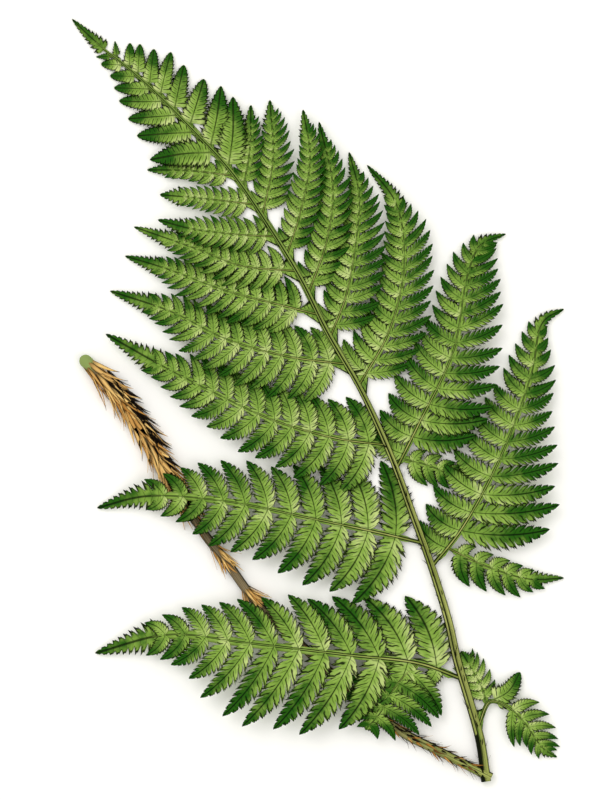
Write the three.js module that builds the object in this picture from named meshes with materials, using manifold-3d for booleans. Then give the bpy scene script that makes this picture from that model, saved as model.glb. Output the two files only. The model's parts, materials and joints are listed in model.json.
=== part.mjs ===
import * as THREE from 'three';
import { mergeVertices } from 'three/addons/utils/BufferGeometryUtils.js';
import Module from 'manifold-3d';

// One frond of the hay-scented buckler fern, picked and laid flat, folded once at the foot of the blade.
// Millimetres. X runs across, Y up the folded frond towards the blade's tip, Z up from the surface under it.

const wasm = await Module();
wasm.setup();

// Driving sizes of the frond
const BLADE_LENGTH = 258;
const STALK_RADIUS = 1.5;
const STALK_TIP_RADIUS = 0.4;
const STIPE_RADIUS = 1.4;
const STIPE_END_RADIUS = 2.1;
const LEAF_THICKNESS = 0.66;
const RIB_RISE = 0.35;
const RIB_HALF_WIDTH = 0.5;
const FOLD_FACE_X = -0.7;

// Places are read in plate steps, 860 along the blade, with x to the right and y down.
const BLADE_STEPS = 860;
const STEP = BLADE_LENGTH / BLADE_STEPS;
const ORIGIN = [484, 768];

// Main rib from the fold to the tip, in plate steps
const RACHIS = [
  [486, 781], [480, 740], [469, 700], [457, 660], [448, 620], [430, 562], [413, 515], [392, 458],
  [362, 392], [327, 331], [300, 277], [263, 217], [230, 170], [193, 130], [151, 88], [117, 59], [103, 49],
];

// Stalk from its cut end to the fold, in plate steps
const STIPE = [
  [81, 357], [88, 363], [106, 382], [131, 414], [154, 450], [178, 490], [204, 533], [226, 561],
  [261, 608], [296, 640], [350, 690], [399, 730], [437, 750], [491, 777],
];

// Side branches, L on the left and R on the right of the blade, numbered from its tip.
// rib: middle line in plate steps, from the main rib outward. bare: share of it without leaflets.
// count: leaflets on a side. up, low: leaflet lengths in mm on the side towards the blade's tip and on the
// side towards its foot, at equal shares of the rib.
// lean: leaflet angle to the rib in degrees, at foot and tip of the up side, then of the low side.
// lift: heights in mm of the rib above the surface at equal shares of the rib, after its foot.
// roll: rise of the low side per mm away from the rib. foot: width of the bare rib against the usual one.
// turn: the side of the rib that low lies on, 1 for the left looking outward.
// on: the side branch that carries it, where that isn't the main rib.
const PINNAE = [
  {
    name: 'L2', rib: [[113, 57], [96, 57]], bare: 0.1, count: 3, up: [1.6, 0.8], low: [1.6, 0.8],
    lift: [0.8, 0.5],
  },
  {
    name: 'L3', rib: [[125, 65], [101, 64]], bare: 0.1, count: 3, up: [2, 0.8], low: [2, 0.8],
    lift: [0.8, 0.5],
  },
  {
    name: 'L4', rib: [[138, 77], [110, 76]], bare: 0.1, count: 3, up: [2.2, 0.8], low: [2.2, 0.8],
    lift: [1.2, 0.6],
  },
  {
    name: 'L5', rib: [[152, 89], [114, 88]], bare: 0.1, count: 3, up: [2.5, 0.9], low: [2.5, 0.9],
    lift: [1.4, 0.6],
  },
  {
    name: 'L6', rib: [[164, 102], [140, 102], [119, 101]], bare: 0.1, count: 4, up: [2.9, 0.9],
    low: [2.9, 0.9], lift: [1.6, 0.6],
  },
  {
    name: 'L7', rib: [[178, 116], [155, 117], [128, 119]], bare: 0.1, count: 5, up: [3.1, 0.9],
    low: [3.2, 0.9], lift: [1.8, 0.6],
  },
  {
    name: 'L8', rib: [[193, 134], [165, 134], [137, 136]], bare: 0.08, count: 4, up: [3.6, 3, 0.9],
    low: [3.6, 3, 0.9], lift: [2, 0.6],
  },
  {
    name: 'L9', rib: [[214, 153], [185, 154], [150, 160]], bare: 0.08, count: 5, up: [4.4, 3.6, 0.9],
    low: [4.6, 3.8, 0.9], lift: [2.8, 1.8],
  },
  {
    name: 'L10', rib: [[232, 178], [190, 171], [147, 170]], bare: 0.08, count: 5,
    up: [5, 4.4, 3.2, 0.9], low: [5.6, 4.8, 3.4, 0.9], lift: [2.4, 0.6],
  },
  {
    name: 'L11', rib: [[251, 207], [205, 199], [160, 195]], bare: 0.08, count: 7, up: [5.6, 5, 4, 0.9],
    low: [6.4, 5.4, 4, 0.9], lift: [3, 2.4],
  },
  {
    name: 'L12', rib: [[272, 239], [240, 235], [191, 229], [158, 220]], bare: 0.07, count: 8,
    up: [7, 6.6, 5.6, 3.4, 0.9], low: [7.6, 7, 6, 3.6, 0.9], lift: [3.9, 3.9, 3], roll: 0.17,
  },
  {
    name: 'L13', rib: [[293, 273], [241, 266], [199, 250], [134, 227]], bare: 0.08, count: 9,
    up: [8.2, 8, 6.4, 3.6, 0.8], low: [9.4, 9, 7, 3.8, 0.8], lift: [3.8, 3.6, 2.2], roll: 0.17,
  },
  {
    name: 'L14', rib: [[316, 316], [284, 306], [226, 291], [167, 269], [125, 256]], bare: 0.1,
    count: 9, up: [10, 9.6, 8, 5, 0.8], low: [12, 11, 9, 5.4, 0.8], lean: [68, 44, 64, 42],
    lift: [3.6, 3, 0.6], roll: 0.17,
  },
  {
    name: 'L15', rib: [[343, 366], [290, 357], [226, 339], [172, 312], [110, 291]], bare: 0.05,
    count: 11, up: [12.5, 12, 10, 6.4, 0.8], low: [14.5, 14, 11, 6.6, 0.8],
    lean: [68, 44, 72, 44], lift: [4, 3.2, 0.6],
  },
  {
    name: 'L16', rib: [[383, 447], [340, 439], [276, 421], [211, 391], [159, 364], [106, 334]],
    bare: 0.04, count: 13, up: [15, 13.5, 12, 7.4, 0.8], low: [17, 14.4, 11.4, 7.6, 0.8],
    lean: [66, 44, 76, 46], lift: [4.4, 3.6, 0.6],
  },
  {
    name: 'L17', rib: [[421, 544], [381, 533], [311, 518], [226, 501], [147, 496], [97, 508]],
    bare: 0.06, count: 12, up: [24, 17, 14.4, 9, 2.6], low: [24, 20, 15, 8, 2.6],
    lean: [74, 48, 82, 44], lift: [5, 4.8, 0.6], foot: 1.4,
  },
  {
    name: 'L18', rib: [[462, 679], [419, 663], [347, 654], [247, 642], [169, 634], [95, 653]],
    bare: 0.05, count: 13, up: [23, 22, 16, 10, 2.4], low: [3, 29, 27, 15.4, 9, 2.4],
    lean: [58, 48, 80, 46], lift: [4.6, 6, 5.8, 4.2, 0.6], foot: 1.6,
  },
  {
    name: 'R1', rib: [[117, 59], [115, 41]], bare: 0.1, count: 3, up: [1.5, 0.8], low: [1.5, 0.8],
    lift: [0.8, 0.5],
  },
  {
    name: 'R2', rib: [[130, 68], [130, 43]], bare: 0.1, count: 3, up: [1.8, 0.8], low: [1.8, 0.8],
    lift: [0.8, 0.5],
  },
  {
    name: 'R3', rib: [[138, 76], [140, 44]], bare: 0.1, count: 3, up: [2, 0.8], low: [2.2, 0.8],
    lift: [1.2, 0.6],
  },
  {
    name: 'R4', rib: [[149, 87], [154, 49]], bare: 0.1, count: 3, up: [2.4, 0.9], low: [2.6, 0.9],
    lift: [1.4, 0.6],
  },
  {
    name: 'R5', rib: [[160, 97], [165, 75], [171, 52]], bare: 0.1, count: 4, up: [2.6, 0.9],
    low: [2.8, 0.9], lift: [1.6, 0.6],
  },
  {
    name: 'R6', rib: [[174, 111], [179, 88], [184, 65]], bare: 0.1, count: 4, up: [3, 0.9],
    low: [3.2, 0.9], lift: [1.8, 0.6],
  },
  {
    name: 'R7', rib: [[189, 127], [197, 103], [204, 79]], bare: 0.08, count: 5, up: [3.4, 2.6, 0.9],
    low: [3.6, 2.8, 0.9], lift: [2, 0.6],
  },
  {
    name: 'R8', rib: [[210, 148], [217, 117], [221, 86]], bare: 0.08, count: 4, up: [4, 3.4, 0.9],
    low: [4.2, 3.6, 0.9], lift: [2.2, 0.6],
  },
  {
    name: 'R9', rib: [[228, 168], [233, 133], [233, 97]], bare: 0.08, count: 6, up: [4.4, 3.6, 0.9],
    low: [4.8, 4, 0.9], lift: [2.8, 2],
  },
  {
    name: 'R10', rib: [[243, 188], [250, 148], [251, 105]], bare: 0.06, count: 6,
    up: [5, 4.6, 3.2, 0.9], low: [5.4, 5, 3.6, 0.9], lift: [2.6, 1],
  },
  {
    name: 'R11', rib: [[262, 217], [273, 160], [270, 100]], bare: 0.05, count: 7, up: [6, 5.6, 4, 0.9],
    low: [6.6, 6.2, 4.6, 0.9], lift: [2.8, 1],
  },
  {
    name: 'R12', rib: [[286, 255], [300, 214], [310, 159], [303, 110]], bare: 0.05, count: 9,
    up: [6.6, 6.4, 4.4, 0.9], low: [7.6, 7.4, 5.6, 0.9], lift: [3.9, 3.8, 2.8], roll: 0.17,
  },
  {
    name: 'R13', rib: [[308, 293], [326, 244], [333, 190], [319, 122]], bare: 0.05, count: 9,
    up: [7.6, 7.4, 6, 3.4, 0.9], low: [9.2, 9, 7.4, 4.6, 0.9], lift: [3.8, 3.6, 2], roll: 0.17,
  },
  {
    name: 'R14', rib: [[331, 337], [346, 296], [356, 241], [359, 195], [349, 152]], bare: 0.05, count: 9,
    up: [8.6, 8.4, 7.2, 5, 0.9], low: [12.6, 11.8, 10, 6.4, 0.9], lean: [74, 50, 62, 44],
    lift: [3.6, 3, 0.6], roll: 0.17,
  },
  {
    name: 'R15', rib: [[358, 386], [389, 331], [404, 264], [396, 204], [367, 165]], bare: 0.04,
    count: 11, up: [12, 9.6, 8.2, 5.6, 0.8], low: [14.4, 13.4, 11.6, 4.6, 0.8], lean: [76, 52, 54, 40],
    lift: [4, 3.2, 0.6],
  },
  {
    name: 'R16', rib: [[391, 471], [419, 423], [453, 351], [467, 277], [480, 246], [506, 234]],
    bare: 0.04, count: 11, up: [10, 12.4, 9.6, 6.6, 0.8],
    low: [0.8, 21, 19, 16.6, 15.2, 14.4, 12.6, 10.5, 8, 4.5, 0.8],
    lean: [94, 46, 76, 46], lift: [4.4, 3.4, 0.6], foot: 1.3,
  },
  {
    name: 'R17', rib: [[431, 567], [461, 529], [500, 457], [531, 374], [543, 322], [564, 309]],
    bare: 0.06, count: 13, up: [11.5, 15, 12, 8, 0.8],
    low: [0.8, 28.5, 22.5, 19.5, 15.5, 11.5, 9.5, 7, 4.6, 2.6, 0.8],
    lean: [104, 46, 64, 46], lift: [4.8, 3.2, 0.4],
    foot: 1.4,
  },
  {
    name: 'L18 foot leaflet', turn: 1,
    rib: [[419, 663], [405, 674], [391, 692], [380, 712], [365, 729]], bare: 0.05, count: 4,
    up: [14, 19, 12, 4], low: [17, 16, 13, 5], lean: [66, 50, 96, 84], roll: 0.02,
    lift: [4.6, 4.5, 4.2], on: 'L18',
  },
  {
    name: 'R16 foot leaflet', turn: -1, rib: [[399, 458], [424, 464], [450, 473], [476, 475]],
    bare: 0.05, count: 5, up: [4.6, 5.8, 4.4, 0.8], low: [8.4, 7, 4.8, 0.8], roll: 0.04,
    lift: [1.5, 1.3, 0.5],
    on: 'R16',
  },
  {
    name: 'R17 foot leaflet', turn: -1, rib: [[447, 548], [486, 566], [529, 579], [564, 578]],
    bare: 0.06, count: 8, up: [5, 6, 4.4, 0.8], low: [9.6, 9, 5.4, 0.8], roll: 0.05,
    lift: [1.9, 1.6, 0.5], on: 'R17',
  },
  {
    name: 'R18', turn: -1,
    rib: [[481, 727], [490, 701], [507, 706], [524, 722], [543, 748], [557, 757]], bare: 0.42, count: 4,
    up: [8.6, 8.4, 7, 1.4], low: [12, 6, 5, 1.4], lean: [72, 40, 56, 40], roll: 0.03, foot: 1.6,
    lift: [2.4, 2.4, 0.5],
  },
  {
    name: 'R18 inner leaflet', turn: -1, rib: [[488, 706], [482, 688], [471, 668], [461, 651]],
    bare: 0.08, count: 4, up: [6.4, 7, 5.6, 2.4], low: [5.4, 6.6, 5.8, 2.4], roll: 0,
    lift: [1.5, 1.1, 1.2], on: 'R18',
  },
  {
    name: 'R18 outer leaflet', turn: -1, rib: [[491, 702], [508, 691], [520, 672]], bare: 0.1, count: 4,
    up: [3, 3, 1.2], low: [3, 2.6, 1.2], roll: 0, lift: [2.4, 1], on: 'R18',
  },
  {
    name: 'Tip', turn: 1, rib: [[107, 52], [96, 42], [84, 31], [72, 19]], bare: 0.1, count: 5,
    up: [3, 1.9, 0.8], low: [3, 1.9, 0.8], roll: 0, lift: [0.7, 0.6],
  },
];

// Position on the surface of a place on the plate
function place([x, y]) {
  return new THREE.Vector2((x - ORIGIN[0]) * STEP, (ORIGIN[1] - y) * STEP);
}

// Smooth curve through places on the plate, flat on the surface
function flatCurve(places) {
  const points = places.map((p) => place(p)).map((p) => new THREE.Vector3(p.x, p.y, 0));
  const curve = new THREE.CatmullRomCurve3(points, false, 'centripetal');
  curve.arcLengthDivisions = 400;
  return curve;
}

const flat = (v) => new THREE.Vector2(v.x, v.y);

// Value at share u of a list spread evenly over the length
function along(list, u) {
  const at = Math.min(Math.max(u, 0), 1) * (list.length - 1);
  const low = Math.min(Math.floor(at), list.length - 2);
  return THREE.MathUtils.lerp(list[low], list[low + 1], at - low);
}

// Same, eased so that the line has no corner
function eased(list, u) {
  const spread = 0.08;
  return (along(list, u - spread) + 2 * along(list, u) + along(list, u + spread)) / 4;
}

// Seeded draw between -1 and 1
let seed = 20471;
function draw() {
  seed = (seed * 16807) % 2147483647;
  return (seed / 2147483647) * 2 - 1;
}

const stipeCurve = flatCurve(STIPE);
const stipeLine = stipeCurve.getSpacedPoints(60).map(flat);

// Height that leaves lying over the stalk keep, so that they are draped over it
const DRAPE_HEIGHT = 4.2;
const DRAPE_HALF_WIDTH = 6;
const DRAPE_SLOPE = 0.28;
const DRAPE_START = [440, 750];
function drape(p) {
  let nearest = Infinity;
  for (const q of stipeLine) {
    if (q.x < place(DRAPE_START).x) {
      nearest = Math.min(nearest, q.distanceTo(p));
    }
  }
  return DRAPE_HEIGHT - Math.max(0, nearest - DRAPE_HALF_WIDTH) * DRAPE_SLOPE;
}

// Solid from vertices and triangles
function solid(vertices, triangles) {
  const mesh = new wasm.Mesh({
    numProp: 3,
    vertProperties: new Float32Array(vertices.flat()),
    triVerts: new Uint32Array(triangles.flat()),
  });
  mesh.merge();
  return new wasm.Manifold(mesh);
}

// Thin plate with the same triangles on both faces. points: [x, y, z, half thickness above, below]
function plate(points, triangles) {
  const count = points.length;
  const top = points.map(([x, y, z, above]) => [x, y, z + above]);
  const bottom = points.map(([x, y, z, above, below]) => [x, y, Math.max(z - below, 0)]);
  const faces = [];
  const edges = new Set();
  for (const [a, b, c] of triangles) {
    faces.push([a, b, c], [a + count, c + count, b + count]);
    edges.add(`${a} ${b}`).add(`${b} ${c}`).add(`${c} ${a}`);
  }
  for (const edge of edges) {
    const [a, b] = edge.split(' ').map(Number);
    if (!edges.has(`${b} ${a}`)) {
      faces.push([a, a + count, b + count], [a, b + count, b]);
    }
  }
  return solid([...top, ...bottom], faces);
}

// Lofted bar: rings of points, closed at both ends
function loft(rings) {
  const sides = rings[0].length;
  const faces = [];
  for (let r = 0; r + 1 < rings.length; r += 1) {
    for (let i = 0; i < sides; i += 1) {
      const a = r * sides + i;
      const b = r * sides + ((i + 1) % sides);
      faces.push([a, b + sides, b], [a, a + sides, b + sides]);
    }
  }
  const last = (rings.length - 1) * sides;
  for (let i = 1; i + 1 < sides; i += 1) {
    faces.push([0, i, i + 1], [last, last + i + 1, last + i]);
  }
  return solid(rings.flat(), faces);
}

// Leaflet outlines from the foot on: share of the length, share of the half width
const LONG_LEAFLET = [[0.3, 1], [0.68, 0.72], [1, 0]];
const SHORT_LEAFLET = [[0.45, 0.9], [1, 0]];
const TOOTH = [[1, 0]];
// Short leaflets are joined to their neighbours for a share of their length
const JOINED_SHARE = 0.5;
const JOINED_BELOW = 5.5;
const JOINED_EASE = 2;
const LONG_FROM = 14;
const TOOTH_BELOW = 4.2;
const LEAFLET_LEAN = [68, 42, 60, 40];
const LEAFLET_BEND = 20;
const LEAFLET_DROOP = 0.09;
const BRANCH_ROLL = 0.13;
const LONG_BRANCH = 60;

const rachisCurve = flatCurve(RACHIS);
const rachisRadius = (u) => THREE.MathUtils.lerp(STALK_RADIUS, STALK_TIP_RADIUS, Math.pow(u, 0.9));

// Foot of a side branch: the nearest place on the middle line of what carries it, with the height there
function foot(spec) {
  const first = place(spec.rib[0]);
  const parent = spec.on ? PINNAE.find((other) => other.name === spec.on) : null;
  const curve = parent ? ribCurve(parent) : rachisCurve;
  const steps = 600;
  let best = 0;
  for (let i = 0; i <= steps; i += 1) {
    const here = flat(curve.getPointAt(i / steps)).distanceTo(first);
    if (here < flat(curve.getPointAt(best / steps)).distanceTo(first)) {
      best = i;
    }
  }
  const u = best / steps;
  const radius = parent ? RIB_HALF_WIDTH : rachisRadius(u);
  const height = parent ? ribHeights(parent)(u) : 0.7 * radius + 0.1;
  const point = curve.getPointAt(u);
  const towards = first.clone().lerp(place(spec.rib[1]), 0.5);
  const outward = new THREE.Vector3(towards.x, towards.y, 0).sub(point);
  return { point: point.addScaledVector(outward.normalize(), 0.35 * radius), height, radius };
}

// Height of a side branch's rib at share u
function ribHeights(spec) {
  const lift = [foot(spec).height, ...spec.lift];
  return (u) => eased(lift, u);
}

// Middle line of a side branch, from its foot on to its tip
function ribCurve(spec) {
  const curve = flatCurve(spec.rib);
  curve.points[0] = foot(spec).point;
  curve.updateArcLengths();
  return curve;
}

// One side branch: a thin arched plate with its leaflets cut to the rib, its foot sunk in what carries it
function branch(spec) {
  const curve = ribCurve(spec);
  const length = curve.getLength();
  const side = spec.turn ?? (spec.name.startsWith('L') ? 1 : -1);
  const lean = spec.lean ?? LEAFLET_LEAN;
  const roll = spec.roll ?? BRANCH_ROLL;
  const points = [];
  const triangles = [];
  const add = (p, z, above = LEAF_THICKNESS / 2, below = LEAF_THICKNESS / 2) => {
    const height = Math.max(z, below, drape(p) + below);
    points.push([p.x, p.y, height, above, below]);
    return points.length - 1;
  };
  const ribHeight = ribHeights(spec);
  const ribRise = RIB_RISE * Math.min(1, length / LONG_BRANCH);
  const ribVertex = (u) => {
    const above = LEAF_THICKNESS / 2 + ribRise * (1 - u);
    const below = LEAF_THICKNESS / 2 + ribRise * 0.6 * (1 - u);
    return add(flat(curve.getPointAt(u)), ribHeight(u), above, below);
  };
  const edgeVertex = (u, turn, offset) => {
    const ahead = flat(curve.getTangentAt(u));
    const across = new THREE.Vector2(-ahead.y, ahead.x).multiplyScalar(turn);
    const p = flat(curve.getPointAt(u)).addScaledVector(across, offset);
    return add(p, ribHeight(u) + turn * side * roll * offset);
  };

  const bare = Math.max(spec.bare, (foot(spec).radius + 0.7) / length);
  const footSteps = Math.max(1, Math.round(bare / 0.14));
  const stations = [];
  for (let k = 0; k < footSteps; k += 1) {
    stations.push((bare * k) / footSteps);
  }
  for (let k = 0; k <= spec.count; k += 1) {
    const u = k / spec.count;
    stations.push(bare + (0.97 - bare) * (u + 0.32 * u * (1 - u)));
  }
  const ribs = stations.map((u) => ribVertex(u));
  const tip = add(flat(curve.getPointAt(1)), ribHeight(1));

  for (const turn of [1, -1]) {
    // Left of the rib looking outward, then right of it
    const lengths = turn === side ? spec.low : spec.up;
    const rise = turn === side ? roll : -roll;
    const joined = (u) => {
      const length = along(lengths, u);
      return length * JOINED_SHARE * Math.min(Math.max((JOINED_BELOW - length) / JOINED_EASE, 0), 1);
    };
    const wing = (k) => {
      if (k <= footSteps) {
        return RIB_HALF_WIDTH * (spec.foot ?? 1);
      }
      const u = (k - footSteps) / spec.count;
      return Math.max(RIB_HALF_WIDTH, along(lengths, u) * (0.05 + 0.34 * u * u * u)) + joined(u);
    };
    const edges = stations.map((u, k) => edgeVertex(u, turn, wing(k)));
    const keep = (a, b, c) => triangles.push(turn === 1 ? [a, b, c] : [a, c, b]);
    for (let k = 0; k + 1 < stations.length; k += 1) {
      keep(ribs[k], ribs[k + 1], edges[k + 1]);
      keep(ribs[k], edges[k + 1], edges[k]);
    }
    keep(ribs[ribs.length - 1], tip, edges[edges.length - 1]);

    for (let k = footSteps; k + 1 < stations.length; k += 1) {
      const u = (k - footSteps + 0.5) / spec.count;
      const middle = (stations[k] + stations[k + 1]) / 2;
      const size = along(lengths, u) * (1 + 0.05 * draw()) - joined(u);
      const ahead = flat(curve.getTangentAt(middle));
      const across = new THREE.Vector2(-ahead.y, ahead.x).multiplyScalar(turn);
      const start = flat(curve.getPointAt(middle)).addScaledVector(across, wing(k) * 0.8);
      const outline = size > LONG_FROM ? LONG_LEAFLET : size > TOOTH_BELOW ? SHORT_LEAFLET : TOOTH;
      const gap = (stations[k + 1] - stations[k]) * length;
      const [leanFoot, leanTip] = turn === side ? lean.slice(2) : lean;
      const angle = THREE.MathUtils.degToRad(THREE.MathUtils.lerp(leanFoot, leanTip, u) + 3 * draw());
      const bend = THREE.MathUtils.degToRad(LEAFLET_BEND);
      const halfWidth = Math.min(gap * Math.sin(angle) * 0.47, size * 0.3);
      const turned = (a) => ahead.clone().multiplyScalar(Math.cos(a)).addScaledVector(across, Math.sin(a));
      const near = [];
      const far = [];
      for (const [reach, width] of outline) {
        const a = angle + bend * (0.5 - reach);
        const axis = start.clone().addScaledVector(turned(a), size * reach);
        const square = angle + bend * (0.5 - 2 * reach) + Math.PI / 2;
        const aside = turned(square).multiplyScalar(halfWidth * width);
        const rolled = rise * size * reach * Math.sin(angle);
        const z = ribHeight(middle) + rolled - LEAFLET_DROOP * size * reach * reach;
        if (width === 0) {
          near.push(add(axis, z));
        } else {
          near.push(add(axis.clone().add(aside), z));
          far.push(add(axis.clone().sub(aside), z));
        }
      }
      let a = edges[k];
      let b = edges[k + 1];
      for (let i = 0; i < far.length; i += 1) {
        keep(a, b, far[i]);
        keep(a, far[i], near[i]);
        a = near[i];
        b = far[i];
      }
      keep(a, b, near[near.length - 1]);
    }
  }
  return plate(points, triangles);
}

// Main rib: grooved above, flat below, thinner towards the tip
const GROOVED = [[0.7, -0.85], [1, 0.1], [0.45, 0.95], [0, 0.62], [-0.45, 0.95], [-1, 0.1], [-0.7, -0.85]];

function bar(curve, section, steps, radiusAt, floor) {
  const rings = [];
  for (let i = 0; i <= steps; i += 1) {
    const u = i / steps;
    const centre = curve.getPointAt(u);
    const tangent = curve.getTangentAt(u);
    const r = radiusAt(u);
    const side = [tangent.y, -tangent.x];
    rings.push(section.map(([across, up]) => [
      centre.x + side[0] * across * r,
      centre.y + side[1] * across * r,
      Math.max(0, (up + floor) * r),
    ]));
  }
  return loft(rings);
}

const rachis = bar(rachisCurve, GROOVED, 26, rachisRadius, 0.85);

// Stalk: round with a flat underside, swollen at the cut end
const STIPE_SIDES = 10;
const ROUND = [];
for (let i = 0; i < STIPE_SIDES; i += 1) {
  const a = (2 * Math.PI * (i + 0.5)) / STIPE_SIDES - Math.PI / 2;
  ROUND.push([Math.cos(a), Math.sin(a)]);
}
const swelling = (u) => STIPE_RADIUS + (STIPE_END_RADIUS - STIPE_RADIUS) * Math.max(0, 1 - u / 0.05) ** 0.7;
const stalk = bar(stipeCurve, ROUND, 34, swelling, Math.cos(Math.PI / STIPE_SIDES));

// Scales of the stalk: narrow, three-sided blades pointing towards the fold, their feet sunk in the stalk.
// from, to: share of the stalk they stand on. reach, width: their size in mm.
// spread: how far they stand off in degrees. around: how far round from the top their feet go, in degrees.
const SCALE_THICKNESS = 0.6;
const SCALES = [
  { from: 0.012, to: 0.3, count: 92, reach: 7, width: 1.5, spread: 28, around: 104 },
  { from: 0.39, to: 0.43, count: 6, reach: 5.4, width: 1.3, spread: 20, around: 80 },
  { from: 0.475, to: 0.5, count: 7, reach: 6.4, width: 1.4, spread: 24, around: 90 },
  { from: 0.8, to: 0.97, count: 12, reach: 3.4, width: 0.9, spread: 20, around: 100 },
];
const SCALE_TOP = 3.7;

function scale(u, around, reach, width, spread) {
  const centre = stipeCurve.getPointAt(u);
  const forward = stipeCurve.getTangentAt(u);
  const r = swelling(u);
  const up = new THREE.Vector3(0, 0, 1);
  const across = new THREE.Vector3().crossVectors(forward, up);
  const out = up.clone().multiplyScalar(Math.cos(around)).addScaledVector(across, Math.sin(around));
  const broad = new THREE.Vector3().crossVectors(forward, out);
  const foot = centre.clone().setZ(r * 0.95).addScaledVector(out, r * 0.55);
  const rise = Math.sin(spread);
  const run = Math.cos(spread);
  const vertices = [];
  for (const [reached, wide] of [[0, 0.7], [0.5, 1]]) {
    const mid = foot.clone();
    mid.addScaledVector(forward, run * reach * reached);
    mid.addScaledVector(out, rise * reach * reached);
    const low = mid.clone().addScaledVector(out, -SCALE_THICKNESS / 2);
    vertices.push(low.clone().addScaledVector(broad, (width / 2) * wide));
    vertices.push(low.clone().addScaledVector(broad, (-width / 2) * wide));
    vertices.push(mid.clone().addScaledVector(out, SCALE_THICKNESS / 2));
  }
  vertices.push(foot.clone().addScaledVector(forward, run * reach).addScaledVector(out, rise * reach * 0.8));
  const heights = vertices.map((v) => [v.x, v.y, Math.min(Math.max(v.z, 0.3), SCALE_TOP)]);
  const faces = [[0, 1, 2], [3, 6, 4], [4, 6, 5], [5, 6, 3]];
  for (let i = 0; i < 3; i += 1) {
    const j = (i + 1) % 3;
    faces.push([i, i + 3, j + 3], [i, j + 3, j]);
  }
  const body = solid(heights, faces);
  return body.volume() > 0 ? body : solid(heights, faces.map(([a, b, c]) => [a, c, b]));
}

const GOLDEN_ANGLE = 137.5;
const scales = [];
for (const row of SCALES) {
  for (let i = 0; i < row.count; i += 1) {
    const u = THREE.MathUtils.lerp(row.from, row.to, (i + 0.5) / row.count);
    const turn = ((i * GOLDEN_ANGLE) % 360) / 180 - 1;
    const around = THREE.MathUtils.degToRad(row.around * turn);
    const spread = THREE.MathUtils.degToRad(row.spread * (1 + 0.25 * draw()));
    const reach = row.reach * (1 + 0.2 * draw());
    scales.push(scale(u, around, reach, row.width, spread));
  }
}

// The two bodies meet in one upright flat face at the fold
const FOLD_BOX = { size: [20, 14, 8], centre: [FOLD_FACE_X - 10, -1, 3] };
const STIPE_BOX = { size: [20, 20, 12], centre: [FOLD_FACE_X + 10, 0, 3] };
function box({ size, centre }) {
  const geometry = new THREE.BoxGeometry(...size).translate(...centre);
  geometry.deleteAttribute('normal');
  geometry.deleteAttribute('uv');
  const merged = mergeVertices(geometry);
  return new wasm.Manifold(new wasm.Mesh({
    numProp: 3,
    vertProperties: new Float32Array(merged.attributes.position.array),
    triVerts: new Uint32Array(merged.index.array),
  }));
}

const blade = wasm.Manifold.union([rachis, ...PINNAE.map((spec) => branch(spec))]).subtract(box(FOLD_BOX));
const stipe = wasm.Manifold.union([stalk, ...scales]).subtract(box(STIPE_BOX));

// Body as a mesh with its own material
function mesh(name, body, colour, roughness) {
  const raw = body.getMesh();
  const geometry = new THREE.BufferGeometry();
  geometry.setAttribute('position', new THREE.BufferAttribute(new Float32Array(raw.vertProperties), 3));
  geometry.setIndex(new THREE.BufferAttribute(new Uint32Array(raw.triVerts), 1));
  geometry.computeVertexNormals();
  const material = new THREE.MeshStandardMaterial({ color: colour, roughness, metalness: 0 });
  const result = new THREE.Mesh(geometry, material);
  result.name = name;
  return result;
}

// Largest closed body, without the empty scraps that a join can leave
const whole = (body) => body.decompose().sort((a, b) => b.volume() - a.volume())[0];

const frond = new THREE.Group();
frond.add(mesh('blade', whole(blade), 0x5f9a3c, 0.6));
frond.add(mesh('stipe', whole(stipe), 0x9a6b34, 0.7));

export default frond;
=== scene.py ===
# %% [markdown]
# # A frond of hay-scented buckler fern
#
# The frond is one leaf of a fern, picked with its stalk, laid flat and folded once where the green part
# begins. A grooved main rib carries some eighteen side branches on each side, each branch carries two rows of
# leaflets, and each leaflet is cut into toothed lobes. The bare stalk runs back under the two lowest branches
# on the left and wears a coat of golden-brown scales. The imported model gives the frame: the same rib lines,
# leaflet places and heights are used here in metres, so every fine piece lies where its plain solid lies.

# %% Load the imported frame
import json
import math
import bpy
import numpy as np
from mathutils import Matrix, Vector

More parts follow.
